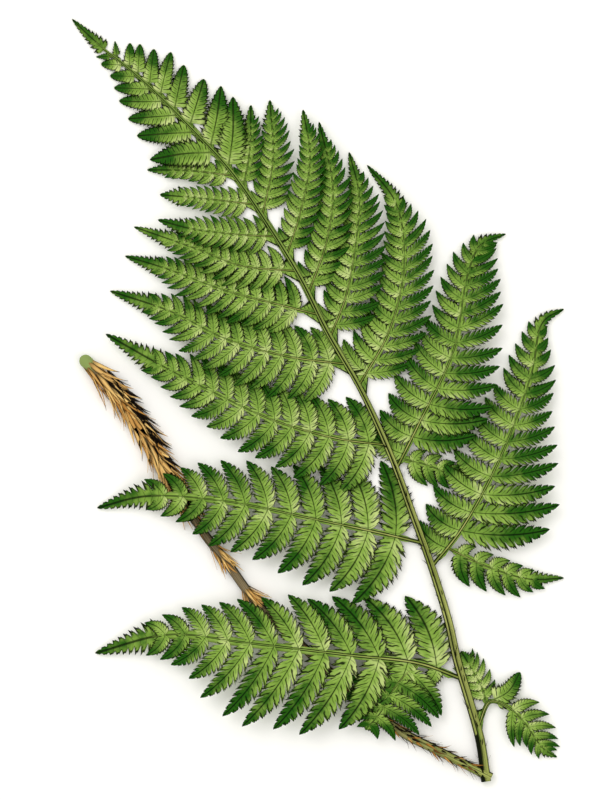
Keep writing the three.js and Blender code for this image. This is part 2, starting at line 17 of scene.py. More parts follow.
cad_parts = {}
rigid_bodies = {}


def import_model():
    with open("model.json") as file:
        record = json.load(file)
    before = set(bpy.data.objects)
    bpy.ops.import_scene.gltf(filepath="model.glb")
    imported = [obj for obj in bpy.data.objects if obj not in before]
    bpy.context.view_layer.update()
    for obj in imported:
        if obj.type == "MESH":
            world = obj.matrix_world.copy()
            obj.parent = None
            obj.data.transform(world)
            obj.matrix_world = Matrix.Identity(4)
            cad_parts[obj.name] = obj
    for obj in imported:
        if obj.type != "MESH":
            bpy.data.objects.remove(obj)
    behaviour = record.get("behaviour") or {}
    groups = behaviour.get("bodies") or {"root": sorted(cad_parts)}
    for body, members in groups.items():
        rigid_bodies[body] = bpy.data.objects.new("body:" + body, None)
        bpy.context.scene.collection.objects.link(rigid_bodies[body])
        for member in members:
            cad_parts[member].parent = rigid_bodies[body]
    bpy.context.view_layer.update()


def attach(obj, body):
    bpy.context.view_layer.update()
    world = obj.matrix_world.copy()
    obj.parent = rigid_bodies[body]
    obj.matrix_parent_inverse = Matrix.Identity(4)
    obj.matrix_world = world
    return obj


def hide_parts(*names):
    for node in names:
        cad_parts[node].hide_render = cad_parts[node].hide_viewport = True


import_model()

# %% [markdown]
# ## Places on the frond
#
# A flat plant is easiest to describe as it lies on the page. Every place is written in steps of 0.3 mm, x
# to the right and y down, and one function turns a place into metres. Each row of the table is one branch:
# its name, the places of its rib, the bare share of the rib and the leaflets on a side, their lengths in mm
# on its upper and its lower side, its heights in mm, and last what is unusual about it. That can be the
# angles of its leaflets (lean), how it is turned about its rib (roll), a stouter rib (foot), the branch it
# stands on (on), a deeper green (tint), the width of its leaflets (slim), broad or longer leaflets on the
# lower and the upper side (broad, longer), how much denser they stand than on the plain solid (denser), the
# length below which they join in a tail (tail), and how slender its tip gets (slender).

# %% Shared sizes and the table of branches
MM = 0.001
STEP = 0.3 * MM
ORIGIN = (484, 768)
STALK_RADIUS = 1.5 * MM
STALK_TIP_RADIUS = 0.4 * MM
STIPE_RADIUS = 1.4 * MM
STIPE_END_RADIUS = 2.1 * MM
RIB_HALF_WIDTH = 0.5 * MM
LEAF_HALF = 0.33 * MM
GROUND = 0.12 * MM
USUAL = {"lean": (68, 42, 60, 40), "roll": 0.13, "foot": 1, "tint": 0, "slim": 0.58, "broad": (0, 0),
         "denser": 1.85, "longer": (1, 1), "tail": 3.6, "slender": 0.4}

RACHIS = """486 781, 480 740, 469 700, 457 660, 448 620, 430 562, 413 515, 392 458, 362 392, 327 331,
            300 277, 263 217, 230 170, 193 130, 151 88, 117 59, 103 49"""
STIPE = """81 357, 88 363, 106 382, 131 414, 154 450, 178 490, 204 533, 226 561, 261 608, 296 640,
           350 690, 399 730, 437 750, 491 777"""
TABLE = """
L2   | 113 57, 96 57 | 0.1 3 | 1.6 0.8 | 1.6 0.8 | 0.8 0.5
L3   | 125 65, 101 64 | 0.1 3 | 2 0.8 | 2 0.8 | 0.8 0.5
L4   | 138 77, 110 76 | 0.1 3 | 2.2 0.8 | 2.2 0.8 | 1.2 0.6
L5   | 152 89, 114 88 | 0.1 3 | 2.5 0.9 | 2.5 0.9 | 1.4 0.6
L6   | 164 102, 140 102, 119 101 | 0.1 4 | 2.9 0.9 | 2.9 0.9 | 1.6 0.6
L7   | 178 116, 155 117, 128 119 | 0.1 5 | 3.1 0.9 | 3.2 0.9 | 1.8 0.6
L8   | 193 134, 165 134, 137 136 | 0.08 4 | 3.6 3 0.9 | 3.6 3 0.9 | 2 0.6
L9   | 214 153, 185 154, 150 160 | 0.08 5 | 4.4 3.6 0.9 | 4.6 3.8 0.9 | 2.8 1.8 | slender 0
L10  | 232 178, 190 171, 147 170 | 0.08 5 | 5 4.4 3.2 0.9 | 5.6 4.8 3.4 0.9 | 2.4 0.6 | slender 0
L11  | 251 207, 205 199, 160 195 | 0.08 7 | 5.6 5 4 0.9 | 6.4 5.4 4 0.9 | 3 2.4 | slender 0
L12  | 272 239, 240 235, 191 229, 158 220 | 0.07 8 | 7 6.6 5.6 3.4 0.9 | 7.6 7 6 3.6 0.9 | 3.9 3.9 3 |
    roll 0.17
L13  | 293 273, 241 266, 199 250, 134 227 | 0.08 9 | 8.2 8 6.4 3.6 0.8 | 9.4 9 7 3.8 0.8 | 3.8 3.6 2.2 |
    roll 0.17
L14  | 316 316, 284 306, 226 291, 167 269, 125 256 | 0.1 9 | 10 9.6 8 5 0.8 | 12 11 9 5.4 0.8 |
    3.6 3 0.6 | lean 68 44 64 42, roll 0.17
L15  | 343 366, 290 357, 226 339, 172 312, 110 291 | 0.05 11 | 12.5 12 10 6.4 0.8 | 14.5 14 11 6.6 0.8 |
    4 3.2 0.6 | lean 68 44 72 44, denser 1.6, tail 4.4
L16  | 383 447, 340 439, 276 421, 211 391, 159 364, 106 334 | 0.04 13 | 15 13.5 12 7.4 0.8 |
    17 14.4 11.4 7.6 0.8 | 4.4 3.6 0.6 | lean 66 44 76 46, denser 1.35, tail 5
L17  | 421 544, 381 533, 311 518, 226 501, 147 496, 97 508 | 0.06 12 | 24 17 14.4 9 2.6 | 24 20 15 8 2.6 |
    5 4.8 0.6 | lean 74 48 82 44, foot 1.4, slim 0.52, broad 0.06 0.12, denser 1.15, tail 6.4
L18  | 462 679, 419 663, 347 654, 247 642, 169 634, 95 653 | 0.05 13 | 23 22 16 10 2.4 |
    3 29 27 15.4 9 2.4 | 4.6 6 5.8 4.2 0.6 |
    lean 58 48 80 46, foot 1.6, slim 0.52, broad 0.06 0.45, denser 1.15, tail 6.4
R1   | 117 59, 115 41 | 0.1 3 | 1.5 0.8 | 1.5 0.8 | 0.8 0.5
R2   | 130 68, 130 43 | 0.1 3 | 1.8 0.8 | 1.8 0.8 | 0.8 0.5
R3   | 138 76, 140 44 | 0.1 3 | 2 0.8 | 2.2 0.8 | 1.2 0.6
R4   | 149 87, 154 49 | 0.1 3 | 2.4 0.9 | 2.6 0.9 | 1.4 0.6
R5   | 160 97, 165 75, 171 52 | 0.1 4 | 2.6 0.9 | 2.8 0.9 | 1.6 0.6
R6   | 174 111, 179 88, 184 65 | 0.1 4 | 3 0.9 | 3.2 0.9 | 1.8 0.6
R7   | 189 127, 197 103, 204 79 | 0.08 5 | 3.4 2.6 0.9 | 3.6 2.8 0.9 | 2 0.6
R8   | 210 148, 217 117, 221 86 | 0.08 4 | 4 3.4 0.9 | 4.2 3.6 0.9 | 2.2 0.6
R9   | 228 168, 233 133, 233 97 | 0.08 6 | 4.4 3.6 0.9 | 4.8 4 0.9 | 2.8 2 | slender 0
R10  | 243 188, 250 148, 251 105 | 0.06 6 | 5 4.6 3.2 0.9 | 5.4 5 3.6 0.9 | 2.6 1 |
    longer 1.12 1, slender 0
R11  | 262 217, 273 160, 270 100 | 0.05 7 | 6 5.6 4 0.9 | 6.6 6.2 4.6 0.9 | 2.8 1 |
    longer 1.3 1.05, slender 0
R12  | 286 255, 300 214, 310 159, 303 110 | 0.05 9 | 6.6 6.4 4.4 0.9 | 7.6 7.4 5.6 0.9 | 3.9 3.8 2.8 |
    roll 0.17, slender 0
R13  | 308 293, 326 244, 333 190, 319 122 | 0.05 9 | 7.6 7.4 6 3.4 0.9 | 9.2 9 7.4 4.6 0.9 | 3.8 3.6 2 |
    roll 0.17, slender 0
R14  | 331 337, 346 296, 356 241, 359 195, 349 152 | 0.05 9 | 8.6 8.4 7.2 5 0.9 | 12.6 11.8 10 6.4 0.9 |
    3.6 3 0.6 | lean 74 50 62 44, roll 0.17
R15  | 358 386, 389 331, 404 264, 396 204, 367 165 | 0.04 11 | 12 9.6 8.2 5.6 0.8 |
    14.4 13.4 11.6 4.6 0.8 | 4 3.2 0.6 | lean 76 52 54 40, denser 1.7
R16  | 391 471, 419 423, 453 351, 467 277, 480 246, 506 234 | 0.04 11 | 10 12.4 9.6 6.6 0.8 |
    0.8 21 19 16.6 15.2 14.4 12.6 10.5 8 4.5 0.8 | 4.4 3.4 0.6 |
    lean 94 46 76 46, foot 1.3, slim 0.56, broad 0.35 0.1, denser 1.55, longer 1 1.15, slender 0
R17  | 431 567, 461 529, 500 457, 531 374, 543 322, 564 309 | 0.06 13 | 11.5 15 12 8 0.8 |
    0.8 28.5 22.5 19.5 15.5 11.5 9.5 7 4.6 2.6 0.8 | 4.8 3.2 0.4 |
    lean 104 46 64 46, foot 1.4, slim 0.52, broad 0.5 0.1, denser 1.2, slender 0
L18 foot leaflet | 419 663, 405 674, 391 692, 380 712, 365 729 | 0.05 4 | 14 19 12 4 | 17 16 13 5 |
    4.6 4.5 4.2 | lean 66 50 96 84, roll 0.02, on L18, tint 1, denser 1.5
R16 foot leaflet | 399 458, 424 464, 450 473, 476 475 | 0.05 5 | 4.6 5.8 4.4 0.8 | 8.4 7 4.8 0.8 |
    1.5 1.3 0.5 | roll 0.04, on R16, denser 1.2
R17 foot leaflet | 447 548, 486 566, 529 579, 564 578 | 0.06 8 | 5 6 4.4 0.8 | 9.6 9 5.4 0.8 |
    1.9 1.6 0.5 | roll 0.05, on R17, denser 1
R18  | 481 727, 490 701, 507 706, 524 722, 543 748, 557 757 | 0.42 4 | 8.6 8.4 7 1.4 | 12 6 5 1.4 |
    2.4 2.4 0.5 | lean 72 40 56 40, roll 0.03, foot 1.6
R18 inner leaflet | 488 706, 482 688, 471 668, 461 651 | 0.08 4 | 6.4 7 5.6 2.4 | 5.4 6.6 5.8 2.4 |
    1.5 1.1 1.2 | roll 0, on R18, tint -1.2
R18 outer leaflet | 491 702, 508 691, 520 672 | 0.1 4 | 3 3 1.2 | 3 2.6 1.2 | 2.4 1 | roll 0, on R18
Tip  | 107 52, 96 42, 84 31, 72 19 | 0.1 5 | 3 1.9 0.8 | 3 1.9 0.8 | 0.7 0.6 | roll 0, turn 1
"""


def numbers(text):
    return [float(word) for word in text.split()]


def places(text):
    return [numbers(pair) for pair in text.split(",")]


def branch_of(row):
    """One row of the table, with the usual values for what it doesn't say."""
    name, rib, leafy, up, low, lift, *unusual = [cell.strip() for cell in row.split("|")]
    bare, count = leafy.split()
    branch = {**USUAL, "name": name, "rib": places(rib), "bare": float(bare), "count": int(count),
              "up": numbers(up), "low": numbers(low), "lift": numbers(lift),
              "turn": 1 if name.startswith("L") else -1}
    for said in filter(None, ",".join(unusual).split(",")):
        key, words = said.split(maxsplit=1)
        branch[key] = words if key == "on" else numbers(words) if " " in words else float(words)
    return branch


BRANCHES = [branch_of(row) for row in TABLE.strip().replace("\n    ", " ").splitlines()]
branch_by_name = {branch["name"]: branch for branch in BRANCHES}
print(len(BRANCHES), "branches listed")

# %% [markdown]
# ## Smooth lines through the places
#
# A rib bends gently, so its line is a centripetal Catmull-Rom curve, which passes through every place without
# overshooting. The curve is sampled densely once and then read by its length, which keeps leaflets evenly
# spaced where the places lie close together.

# %% Lines that can be read by their length
SAMPLES = 60
HEADING_STEP = 0.003
EASING = 0.08


def place(where):
    return np.array([(where[0] - ORIGIN[0]) * STEP, (ORIGIN[1] - where[1]) * STEP])


def left_of(heading):
    return np.array([-heading[1], heading[0]])


def clamp(value):
    return min(max(value, 0), 1)


class Line:
    """A smooth flat line, read by its share of length."""

    def __init__(self, points):
        p = np.array(points, float)
        p = np.vstack([2 * p[0] - p[1], p, 2 * p[-1] - p[-2]])
        samples = []
        for i in range(1, len(p) - 2):
            d = [max(np.linalg.norm(p[i + k] - p[i + k - 1]) ** 0.5, 1e-6) for k in (0, 1, 2)]
            a, b, c, e = p[i - 1:i + 3]
            first = ((b - a) / d[0] - (c - a) / (d[0] + d[1]) + (c - b) / d[1]) * d[1]
            second = ((c - b) / d[1] - (e - b) / (d[1] + d[2]) + (e - c) / d[2]) * d[1]
            for t in np.linspace(0, 1, SAMPLES, endpoint=False):
                samples.append(b + first * t + (3 * (c - b) - 2 * first - second) * t * t
                               + (2 * (b - c) + first + second) * t ** 3)
        samples.append(p[-2])
        self.points = np.array(samples)
        steps = np.linalg.norm(np.diff(self.points, axis=0), axis=1)
        self.shares = np.concatenate([[0], np.cumsum(steps)])
        self.length = self.shares[-1]
        self.shares /= self.length

    def at(self, share):
        return np.array([np.interp(share, self.shares, self.points[:, k]) for k in (0, 1)])

    def heading(self, share):
        step = self.at(min(share + HEADING_STEP, 1)) - self.at(max(share - HEADING_STEP, 0))
        return step / np.linalg.norm(step)

    def nearest(self, point):
        return self.shares[np.argmin(np.linalg.norm(self.points - point, axis=1))]


def along(values, share):
    return float(np.interp(share, np.linspace(0, 1, len(values)), values))


def eased(values, share):
    return (along(values, share - EASING) + 2 * along(values, share) + along(values, share + EASING)) / 4


rachis_line = Line([place(p) for p in places(RACHIS)])
stipe_line = Line([place(p) for p in places(STIPE)])
print("main rib", round(rachis_line.length, 4), "m, stalk", round(stipe_line.length, 4), "m")

# %% [markdown]
# ## Heights
#
# The frond lies on a table. Its ribs leave the upper half of the main rib, arch a few millimetres up and
# droop to the table at their tips, and the two lowest branches are draped over the folded stalk. Each branch
# is also turned a little about its rib, so that neighbours overlap like tiles instead of running into each
# other. These are the rules of the plain solids, so the fine leaflets keep to the same surface.

# %% Height rules
DRAPE_HEIGHT = 4.2 * MM
DRAPE_HALF_WIDTH = 6 * MM
DRAPE_SLOPE = 0.28
DRAPE_ENDS_AT = (440, 750)
FOOT_SUNK = 0.35
stipe_under = np.array([stipe_line.at(u) for u in np.linspace(0, 1, 61)])
stipe_under = stipe_under[stipe_under[:, 0] < place(DRAPE_ENDS_AT)[0]]


def settled(point, height):
    """The height a leaf takes up on the table, or over the stalk that lies under it."""
    distance = np.min(np.linalg.norm(stipe_under - point, axis=1))
    drape = DRAPE_HEIGHT - max(0, distance - DRAPE_HALF_WIDTH) * DRAPE_SLOPE
    return max(height, LEAF_HALF, drape + LEAF_HALF)


def rachis_radius(share):
    return STALK_RADIUS + (STALK_TIP_RADIUS - STALK_RADIUS) * share ** 0.9


def rib_of(branch):
    """The rib's line and height rule, from its foot inside what carries it."""
    if "line" not in branch:
        first = place(branch["rib"][0])
        if "on" in branch:
            carrier, carrier_height = rib_of(branch_by_name[branch["on"]])
            share = carrier.nearest(first)
            radius, height = RIB_HALF_WIDTH, carrier_height(share)
        else:
            carrier = rachis_line
            share = carrier.nearest(first)
            radius = rachis_radius(share)
            height = 0.7 * radius + 0.1 * MM
        foot = carrier.at(share)
        outward = (first + place(branch["rib"][1])) / 2 - foot
        foot = foot + outward / np.linalg.norm(outward) * FOOT_SUNK * radius
        branch["line"] = Line([foot] + [place(p) for p in branch["rib"][1:]])
        branch["foot_radius"] = radius
        lift = [height] + [v * MM for v in branch["lift"]]
        branch["height"] = lambda u, lift=lift: eased(lift, u)
    return branch["line"], branch["height"]


print("longest branch", round(max(rib_of(branch)[0].length for branch in BRANCHES), 4), "m")

# %% [markdown]
# ## Where each leaflet stands
#
# Leaflets leave the rib at a steep angle near its foot and at a shallow one near its tip, get shorter outward
# and bend towards the branch's tip. Each one is written down as a point that carries its own facts: which way
# it turns, how large it is, how far it sags. A seeded draw gives each a slightly different length and angle.
# The finest outer leaflets run into one another, so they are left to the tail, and the smallest branches are
# one toothed blade.

# %% Leaflet points
LEAFLET_DROOP = 0.09
WHOLE_BELOW = 4.9 * MM
LAST_LEAFLET = 0.97
CROWDING = 0.32
MOST_HALF = 0.36
SEED_STEP = 16807
SEED_LIMIT = 2147483647
_seed = [20471]


def draw():
    """A seeded number from -1 to 1."""
    _seed[0] = (_seed[0] * SEED_STEP) % SEED_LIMIT
    return _seed[0] / SEED_LIMIT * 2 - 1


def fine_count(branch):
    """Leaflets on a side; the plain solid has fewer, wider ones."""
    return round(branch["count"] * branch["denser"])


def stations_of(branch):
    bare = max(branch["bare"] - 0.02, (branch["foot_radius"] + 0.7 * MM) / branch["line"].length)
    count = fine_count(branch)
    return bare, [bare + (LAST_LEAFLET - bare) * (k / count + CROWDING * k / count * (1 - k / count))
                  for k in range(count + 1)]


def leaflets_of(branch):
    count = fine_count(branch)
    line, height = rib_of(branch)
    bare, shares = stations_of(branch)
    rows, tails = [], []
    small = max(branch["low"][0], branch["up"][0]) * MM < WHOLE_BELOW
    joined_below = 2 * WHOLE_BELOW if small else branch["tail"] * MM
    for turn in (1, -1):
        upper = turn != branch["turn"]
        lengths = branch["up" if upper else "low"]
        rise = -branch["roll"] if upper else branch["roll"]
        lean_foot, lean_tip = branch["lean"][:2] if upper else branch["lean"][2:]
        for k in range(count):
            u = (k + 0.5) / count
            middle = (shares[k] + shares[k + 1]) / 2
            slender = branch["slender"] * max(0, (u - 0.5) / 0.5)
            length = along(lengths, u) * MM * (1 - slender) * branch["longer"][upper]
            if k == 0 and lengths[0] < 1:
                continue
            if length < joined_below:
                tails.append((max(shares[k] - 0.02, 0), max(length, 1.2 * MM)))
                break
            size = length * (1 + 0.05 * draw())
            angle = math.radians(lean_foot + (lean_tip - lean_foot) * u + 3 * draw())
            ahead = line.heading(middle)
            start = line.at(middle)
            gap = (shares[k + 1] - shares[k]) * line.length
            broad = 1 + branch["broad"][upper] * max(0, 1 - u / 0.3)
            half = min(gap * math.sin(angle) * branch["slim"] * broad, size * MOST_HALF)
            heading = ahead * math.cos(angle) + left_of(ahead) * turn * math.sin(angle)
            heights = []
            for reach in (0, 0.5, 1):
                raised = height(middle) + rise * size * reach * math.sin(angle)
                raw = raised - LEAFLET_DROOP * size * reach ** 2
                heights.append(settled(start + heading * size * reach, raw))
            rib_slope = (height(min(middle + 0.02, 1)) - height(max(middle - 0.02, 0))) / (0.04 * line.length)
            rows.append({"at": start, "z": heights, "heading": heading, "turn": turn, "size": size,
                         "half": half, "rib_slope": rib_slope, "ahead": ahead, "share": u})
    branch["tail_from"] = min([t[0] for t in tails] + [0.93])
    branch["tail_half"] = ([t[1] for t in tails] * 2 or [1.6 * MM] * 2)[:2]
    return rows


leaflets = {branch["name"]: leaflets_of(branch) for branch in BRANCHES}
print(sum(len(rows) for rows in leaflets.values()), "leaflets placed")

# %% [markdown]
# ## The leaflet patterns
#
# A leaflet of this fern is a long oval cut into slanting lobes, and every lobe ends in pointed teeth that
# lean towards the leaflet's tip. Drawing the outline and filling it would give poor triangles, so the leaflet
# is woven as a sheared grid: columns run from the middle vein slantwise to the edge, and only the outermost
# row follows the teeth. The upper and the lower skin share that edge, so the leaflet is a closed thin body.
# Three patterns are enough: deeply lobed, lobed and toothed, each made for both sides of a rib. Under the two
# larger ones lies a row of round spore clusters on either side of the vein.

# %% A skin of points with numbers
def number_points(mesh, facts, kind="FLOAT"):
    """Writes named numbers, whole numbers or vectors on a mesh's points."""
    for key, values in facts.items():
        flat = np.asarray(values, np.int32 if kind == "INT" else np.float32).ravel()
        layer = mesh.attributes.new(key, kind, "POINT")
        layer.data.foreach_set("vector" if kind == "FLOAT_VECTOR" else "value", flat)


def show(thing):
    bpy.context.scene.collection.objects.link(thing)
    return thing


class Skin:
    """Points with their numbers and the faces between them, gathered until they become a mesh."""

    def __init__(self, *keys):
        self.points, self.faces = [], []
        self.facts = {key: [] for key in keys}

    def put(self, point, *values):
        self.points.append(tuple(point))
        for key, value in zip(self.facts, values):
            self.facts[key].append(value)
        return len(self.points) - 1

    def tube(self, sides, closed=True):
        """Faces from every ring of points to the next, and over both ends."""
        count = len(self.points)
        for a in range(0, count - sides, sides):
            b = a + sides
            self.faces += [(a + k, b + k, b + (k + 1) % sides, a + (k + 1) % sides) for k in range(sides)]
        if closed:
            self.faces += [tuple(range(sides)), tuple(range(count - 1, count - sides - 1, -1))]
        return self

    def become(self, name, material=None):
        mesh = bpy.data.meshes.new(name)
        mesh.from_pydata(self.points, [], [tuple(f) for f in self.faces])
        number_points(mesh, self.facts)
        mesh.shade_smooth()
        mesh.update()
        if not material:
            return bpy.data.objects.new(name, mesh)
        mesh.materials.append(material)
        return show(bpy.data.objects.new(name, mesh))


print("skins carry numbers on their points")

# %% Leaflet patterns with their own leaf coordinates
BIG_OUTLINE = ((0, 0.06, 0.16, 0.3, 0.45, 0.6, 0.75, 0.87, 0.95, 1),
               (0.66, 0.94, 1.05, 1.06, 0.97, 0.82, 0.62, 0.4, 0.2, 0.02))
STRIP_OUTLINE = ((0, 0.06, 0.16, 0.3, 0.5, 0.68, 0.82, 0.91, 0.97, 1),
                 (1.0, 1.06, 1.05, 0.98, 0.82, 0.62, 0.41, 0.24, 0.12, 0.01))
SHEAR = 0.17
CURVE = math.radians(20)
TOOTH_FROM = 0.97
TOOTH_RIM = 1.7
SPORE_SIDES = 6
SPORE_OUT = 0.4
SPORE_ASPECT = 4.4
SPORE_RINGS = ((0.026, -0.08), (0.016, -0.2))
PATTERNS = {
    "a_big": {"lobes": 9, "rows": (0.08, 0.4, 0.78), "spores": 6,
              "teeth": ((0, 0.5), (0.08, 0.78), (0.27, 1.0), (0.33, 0.88), (0.54, 1.08), (0.6, 0.93),
                        (0.8, 1.14), (0.88, 0.94), (0.96, 0.7))},
    "b_mid": {"lobes": 8, "rows": (0.1, 0.72), "spores": 4,
              "teeth": ((0, 0.82), (0.32, 0.98), (0.38, 0.91), (0.72, 1.07), (0.8, 0.95))},
    "c_small": {"lobes": 6, "rows": (0.14, 0.72), "spores": 0,
                "teeth": ((0, 0.84), (0.5, 0.96), (0.76, 1.08), (0.84, 0.96))},
}


def weave(lobes, teeth, rows, outline, put):
    """The faces of a toothed blade of two skins; put lays down one of its points and returns its number."""
    tops, bottoms, faces = [], [], []
    for u, tooth in [((k + p) / lobes, m) for k in range(lobes) for p, m in teeth] + [(1.0, 1.0)]:
        width = float(np.interp(u, *outline)) * (1 - (1 - tooth) * (1.45 - 0.8 * u))
        point = TOOTH_RIM if tooth > TOOTH_FROM else 1
        swell = 0.16 * math.sin(math.pi * ((u * lobes) % 1))
        ys = [-width * r for r in reversed(rows)] + [0] + [width * r for r in rows]
        top = [put(u, -width, -0.1 * width, 0, rim=point)]
        for y in ys:
            top.append(put(u, y, 0.1 + swell * abs(y) - 0.14 * y * y - (0.1 if y == 0 else 0), 0))
        top.append(put(u, width, -0.1 * width, 0, rim=point))
        low = [put(u, y, -0.07 - 0.1 * y * y - (0.1 if y == 0 else 0), 1)
               for y in (-width * 0.4, 0, width * 0.4)]
        tops.append(top)
        bottoms.append([top[0]] + low + [top[-1]])
    for a, b in zip(tops, tops[1:]):
        faces += [(a[i], b[i], b[i + 1], a[i + 1]) for i in range(len(a) - 1)]
    for a, b in zip(bottoms, bottoms[1:]):
        faces += [(a[i + 1], b[i + 1], b[i], a[i]) for i in range(len(a) - 1)]
    return faces + [tops[0] + bottoms[0][-2:0:-1], (tops[-1] + bottoms[-1][-2:0:-1])[::-1]]


def leaflet_pattern(name, lobes, teeth, rows, spores, turn):
    skin = Skin("along", "across", "rank", "under", "spore", "rim", "deep")
    big = name.startswith("a_")
    outline = BIG_OUTLINE if big else STRIP_OUTLINE

    def put(u, y, z, under, spore=0.0, rim=0.0):
        slant = SHEAR * min(1, 0.3 + 3 * u) * (1 - u) ** 0.4
        bow = 4.4 * u * math.sin(CURVE * (0.5 - u))
        return skin.put((u + slant * abs(y), (y + bow) * turn, z), u, y, u * lobes, under, spore, rim,
                        float(big))

    skin.faces = weave(lobes, teeth, rows, outline, put)
    for k in range(spores):
        for sign in (-1, 1):
            u0 = (k + 0.6) / lobes
            y0 = SPORE_OUT * sign * float(np.interp(u0, *outline))
            ring, top_ring = ([put(u0 + wide * math.cos(t), y0 + SPORE_ASPECT * wide * math.sin(t), z, 1, 1)
                               for t in np.linspace(0, 2 * math.pi, SPORE_SIDES, endpoint=False)]
                              for wide, z in SPORE_RINGS)
            for i in range(SPORE_SIDES):
                j = (i + 1) % SPORE_SIDES
                skin.faces.append((ring[i], top_ring[i], top_ring[j], ring[j]))
            skin.faces.append(top_ring[::-1])
    if turn < 0:
        skin.faces = [tuple(reversed(f)) for f in skin.faces]
    return skin.become(name)


pattern_shelf = bpy.data.collections.new("leaflet patterns")
for key, spec in PATTERNS.items():
    for turn, letter in ((1, "l"), (-1, "r")):
        made = leaflet_pattern(f"{key}_{letter}", turn=turn, **spec)
        pattern_shelf.objects.link(made)
        print(made.name, len(made.data.polygons), "faces")

# %% [markdown]
# ## Numbers that nodes work out
#
# Geometry and colour both follow short sums over a few numbers kept on the points. Written node by node such
# a sum can't be read, so a small wrapper lets plus, minus and times add the Math nodes.

# %% Nodes and sums of them
class Value:
    """A number that a node puts out; plus, minus, times, divided by and abs add Math nodes to it."""

    def __init__(self, tree, socket):
        self.tree, self.socket = tree, socket

    def __abs__(self):
        return calc("ABSOLUTE", self)


def add(tree, kind, inputs=None, **settings):
    """One node with its settings and its inputs: plain values, Values, or nodes with their first output."""
    node = tree.nodes.new(kind)
    for key, value in settings.items():
        setattr(node, key, value)
    for key, value in (inputs or {}).items():
        if isinstance(value, (Value, bpy.types.Node)):
            socket = value.socket if isinstance(value, Value) else value.outputs[0]
            tree.links.new(socket, node.inputs[key])
        else:
            node.inputs[key].default_value = value
    return node


def value_of(tree, kind, inputs=None, output=0, **settings):
    return Value(tree, add(tree, kind, inputs, **settings).outputs[output])


def calc(operation, *values):
    tree = next(value.tree for value in values if isinstance(value, Value))
    return value_of(tree, "ShaderNodeMath", dict(enumerate(values)), operation=operation)


for word, operation in (("add", "ADD"), ("sub", "SUBTRACT"), ("mul", "MULTIPLY"), ("truediv", "DIVIDE")):
    setattr(Value, f"__{word}__", lambda a, b, operation=operation: calc(operation, a, b))
    setattr(Value, f"__r{word}__", lambda a, b, operation=operation: calc(operation, b, a))
print("sums can be written")

# %% [markdown]
# ## One rule that sets patterns on points
#
# Leaflets, scales and hairs all repeat, so one Geometry Nodes tree places them. Every point says which
# pattern it takes, how that is turned and stretched, and how far it sags in the middle. The tree also keeps
# everything above the table and under the leaves over it, and ends as real triangles with a material.

# %% Geometry Nodes: patterns on points
CEILING = 0.0067
SKIN_APART = 0.00012


def new_tree(name, *inputs):
    """A tree, its inputs' identifiers by label, and their values."""
    tree = bpy.data.node_groups.new(name, "GeometryNodeTree")
    sockets = {}
    for label, kind, default in (("Geometry", "Geometry", None), ("Material", "Material", None),
                                 ("Ground", "Float", 0.0), ("Ceiling", "Float", CEILING), *inputs):
        socket = tree.interface.new_socket(label, in_out="INPUT", socket_type="NodeSocket" + kind)
        if default is not None:
            socket.default_value = default
        sockets[label] = socket.identifier
    tree.interface.new_socket("Geometry", in_out="OUTPUT", socket_type="NodeSocketGeometry")
    outputs = tree.nodes.new("NodeGroupInput").outputs
    return tree, sockets, {label: Value(tree, outputs[label]) for label in sockets}


def named(tree, label, kind="FLOAT"):
    return value_of(tree, "GeometryNodeInputNamedAttribute", {"Name": label}, "Attribute", data_type=kind)


def position_of(tree):
    """The three numbers of every point's place."""
    parts = add(tree, "ShaderNodeSeparateXYZ", {0: tree.nodes.new("GeometryNodeInputPosition")})
    return [Value(tree, socket) for socket in parts.outputs]


def between(tree, geometry, given):
    """Keeps a shape between ground and ceiling; the upper skin stays a little above the lower one."""
    x, y, z = position_of(tree)
    upper = (1.0 - named(tree, "under")) * SKIN_APART
    height = calc("MINIMUM", calc("MAXIMUM", z, given["Ground"] + upper), given["Ceiling"] + upper)
    moved = add(tree, "ShaderNodeCombineXYZ", {"X": x, "Y": y, "Z": height})
    return add(tree, "GeometryNodeSetPosition", {"Geometry": geometry, "Position": moved})


def end_tree(tree, geometry, given):
    coloured = add(tree, "GeometryNodeSetMaterial", {"Geometry": geometry, "Material": given["Material"]})
    add(tree, "NodeGroupOutput", {0: coloured})


tree, sockets, given = new_tree("patterns on points", ("Patterns", "Collection", None),
                                ("Tilt spread", "Float", 0.05), ("Seed", "Int", 7))
pattern_rule = (tree, sockets)
shelf = add(tree, "GeometryNodeCollectionInfo",
            {"Collection": given["Patterns"], "Separate Children": True, "Reset Children": True})
aim = add(tree, "FunctionNodeEulerToRotation", {"Euler": named(tree, "aim", "FLOAT_VECTOR")})
tilt = value_of(tree, "FunctionNodeRandomValue",
                {2: given["Tilt spread"] * -1.0, 3: given["Tilt spread"], "Seed": given["Seed"]}, 1)
tilt_turn = add(tree, "FunctionNodeEulerToRotation",
                {"Euler": add(tree, "ShaderNodeCombineXYZ", {"X": tilt})})
turned = add(tree, "FunctionNodeRotateRotation", {"Rotation": aim, "Rotate By": tilt_turn},
             rotation_space="LOCAL")
placed = add(tree, "GeometryNodeInstanceOnPoints",
             {"Points": given["Geometry"], "Instance": shelf, "Pick Instance": True,
              "Instance Index": named(tree, "pattern", "INT"), "Rotation": turned,
              "Scale": named(tree, "reach", "FLOAT_VECTOR")})
real = add(tree, "GeometryNodeRealizeInstances", {"Geometry": placed})
share = named(tree, "along")
offset = add(tree, "ShaderNodeCombineXYZ", {"Z": share * (1.0 - share) * 4.0 * named(tree, "sag")})
bent = add(tree, "GeometryNodeSetPosition", {"Geometry": real, "Offset": offset})
end_tree(tree, between(tree, bent, given), given)

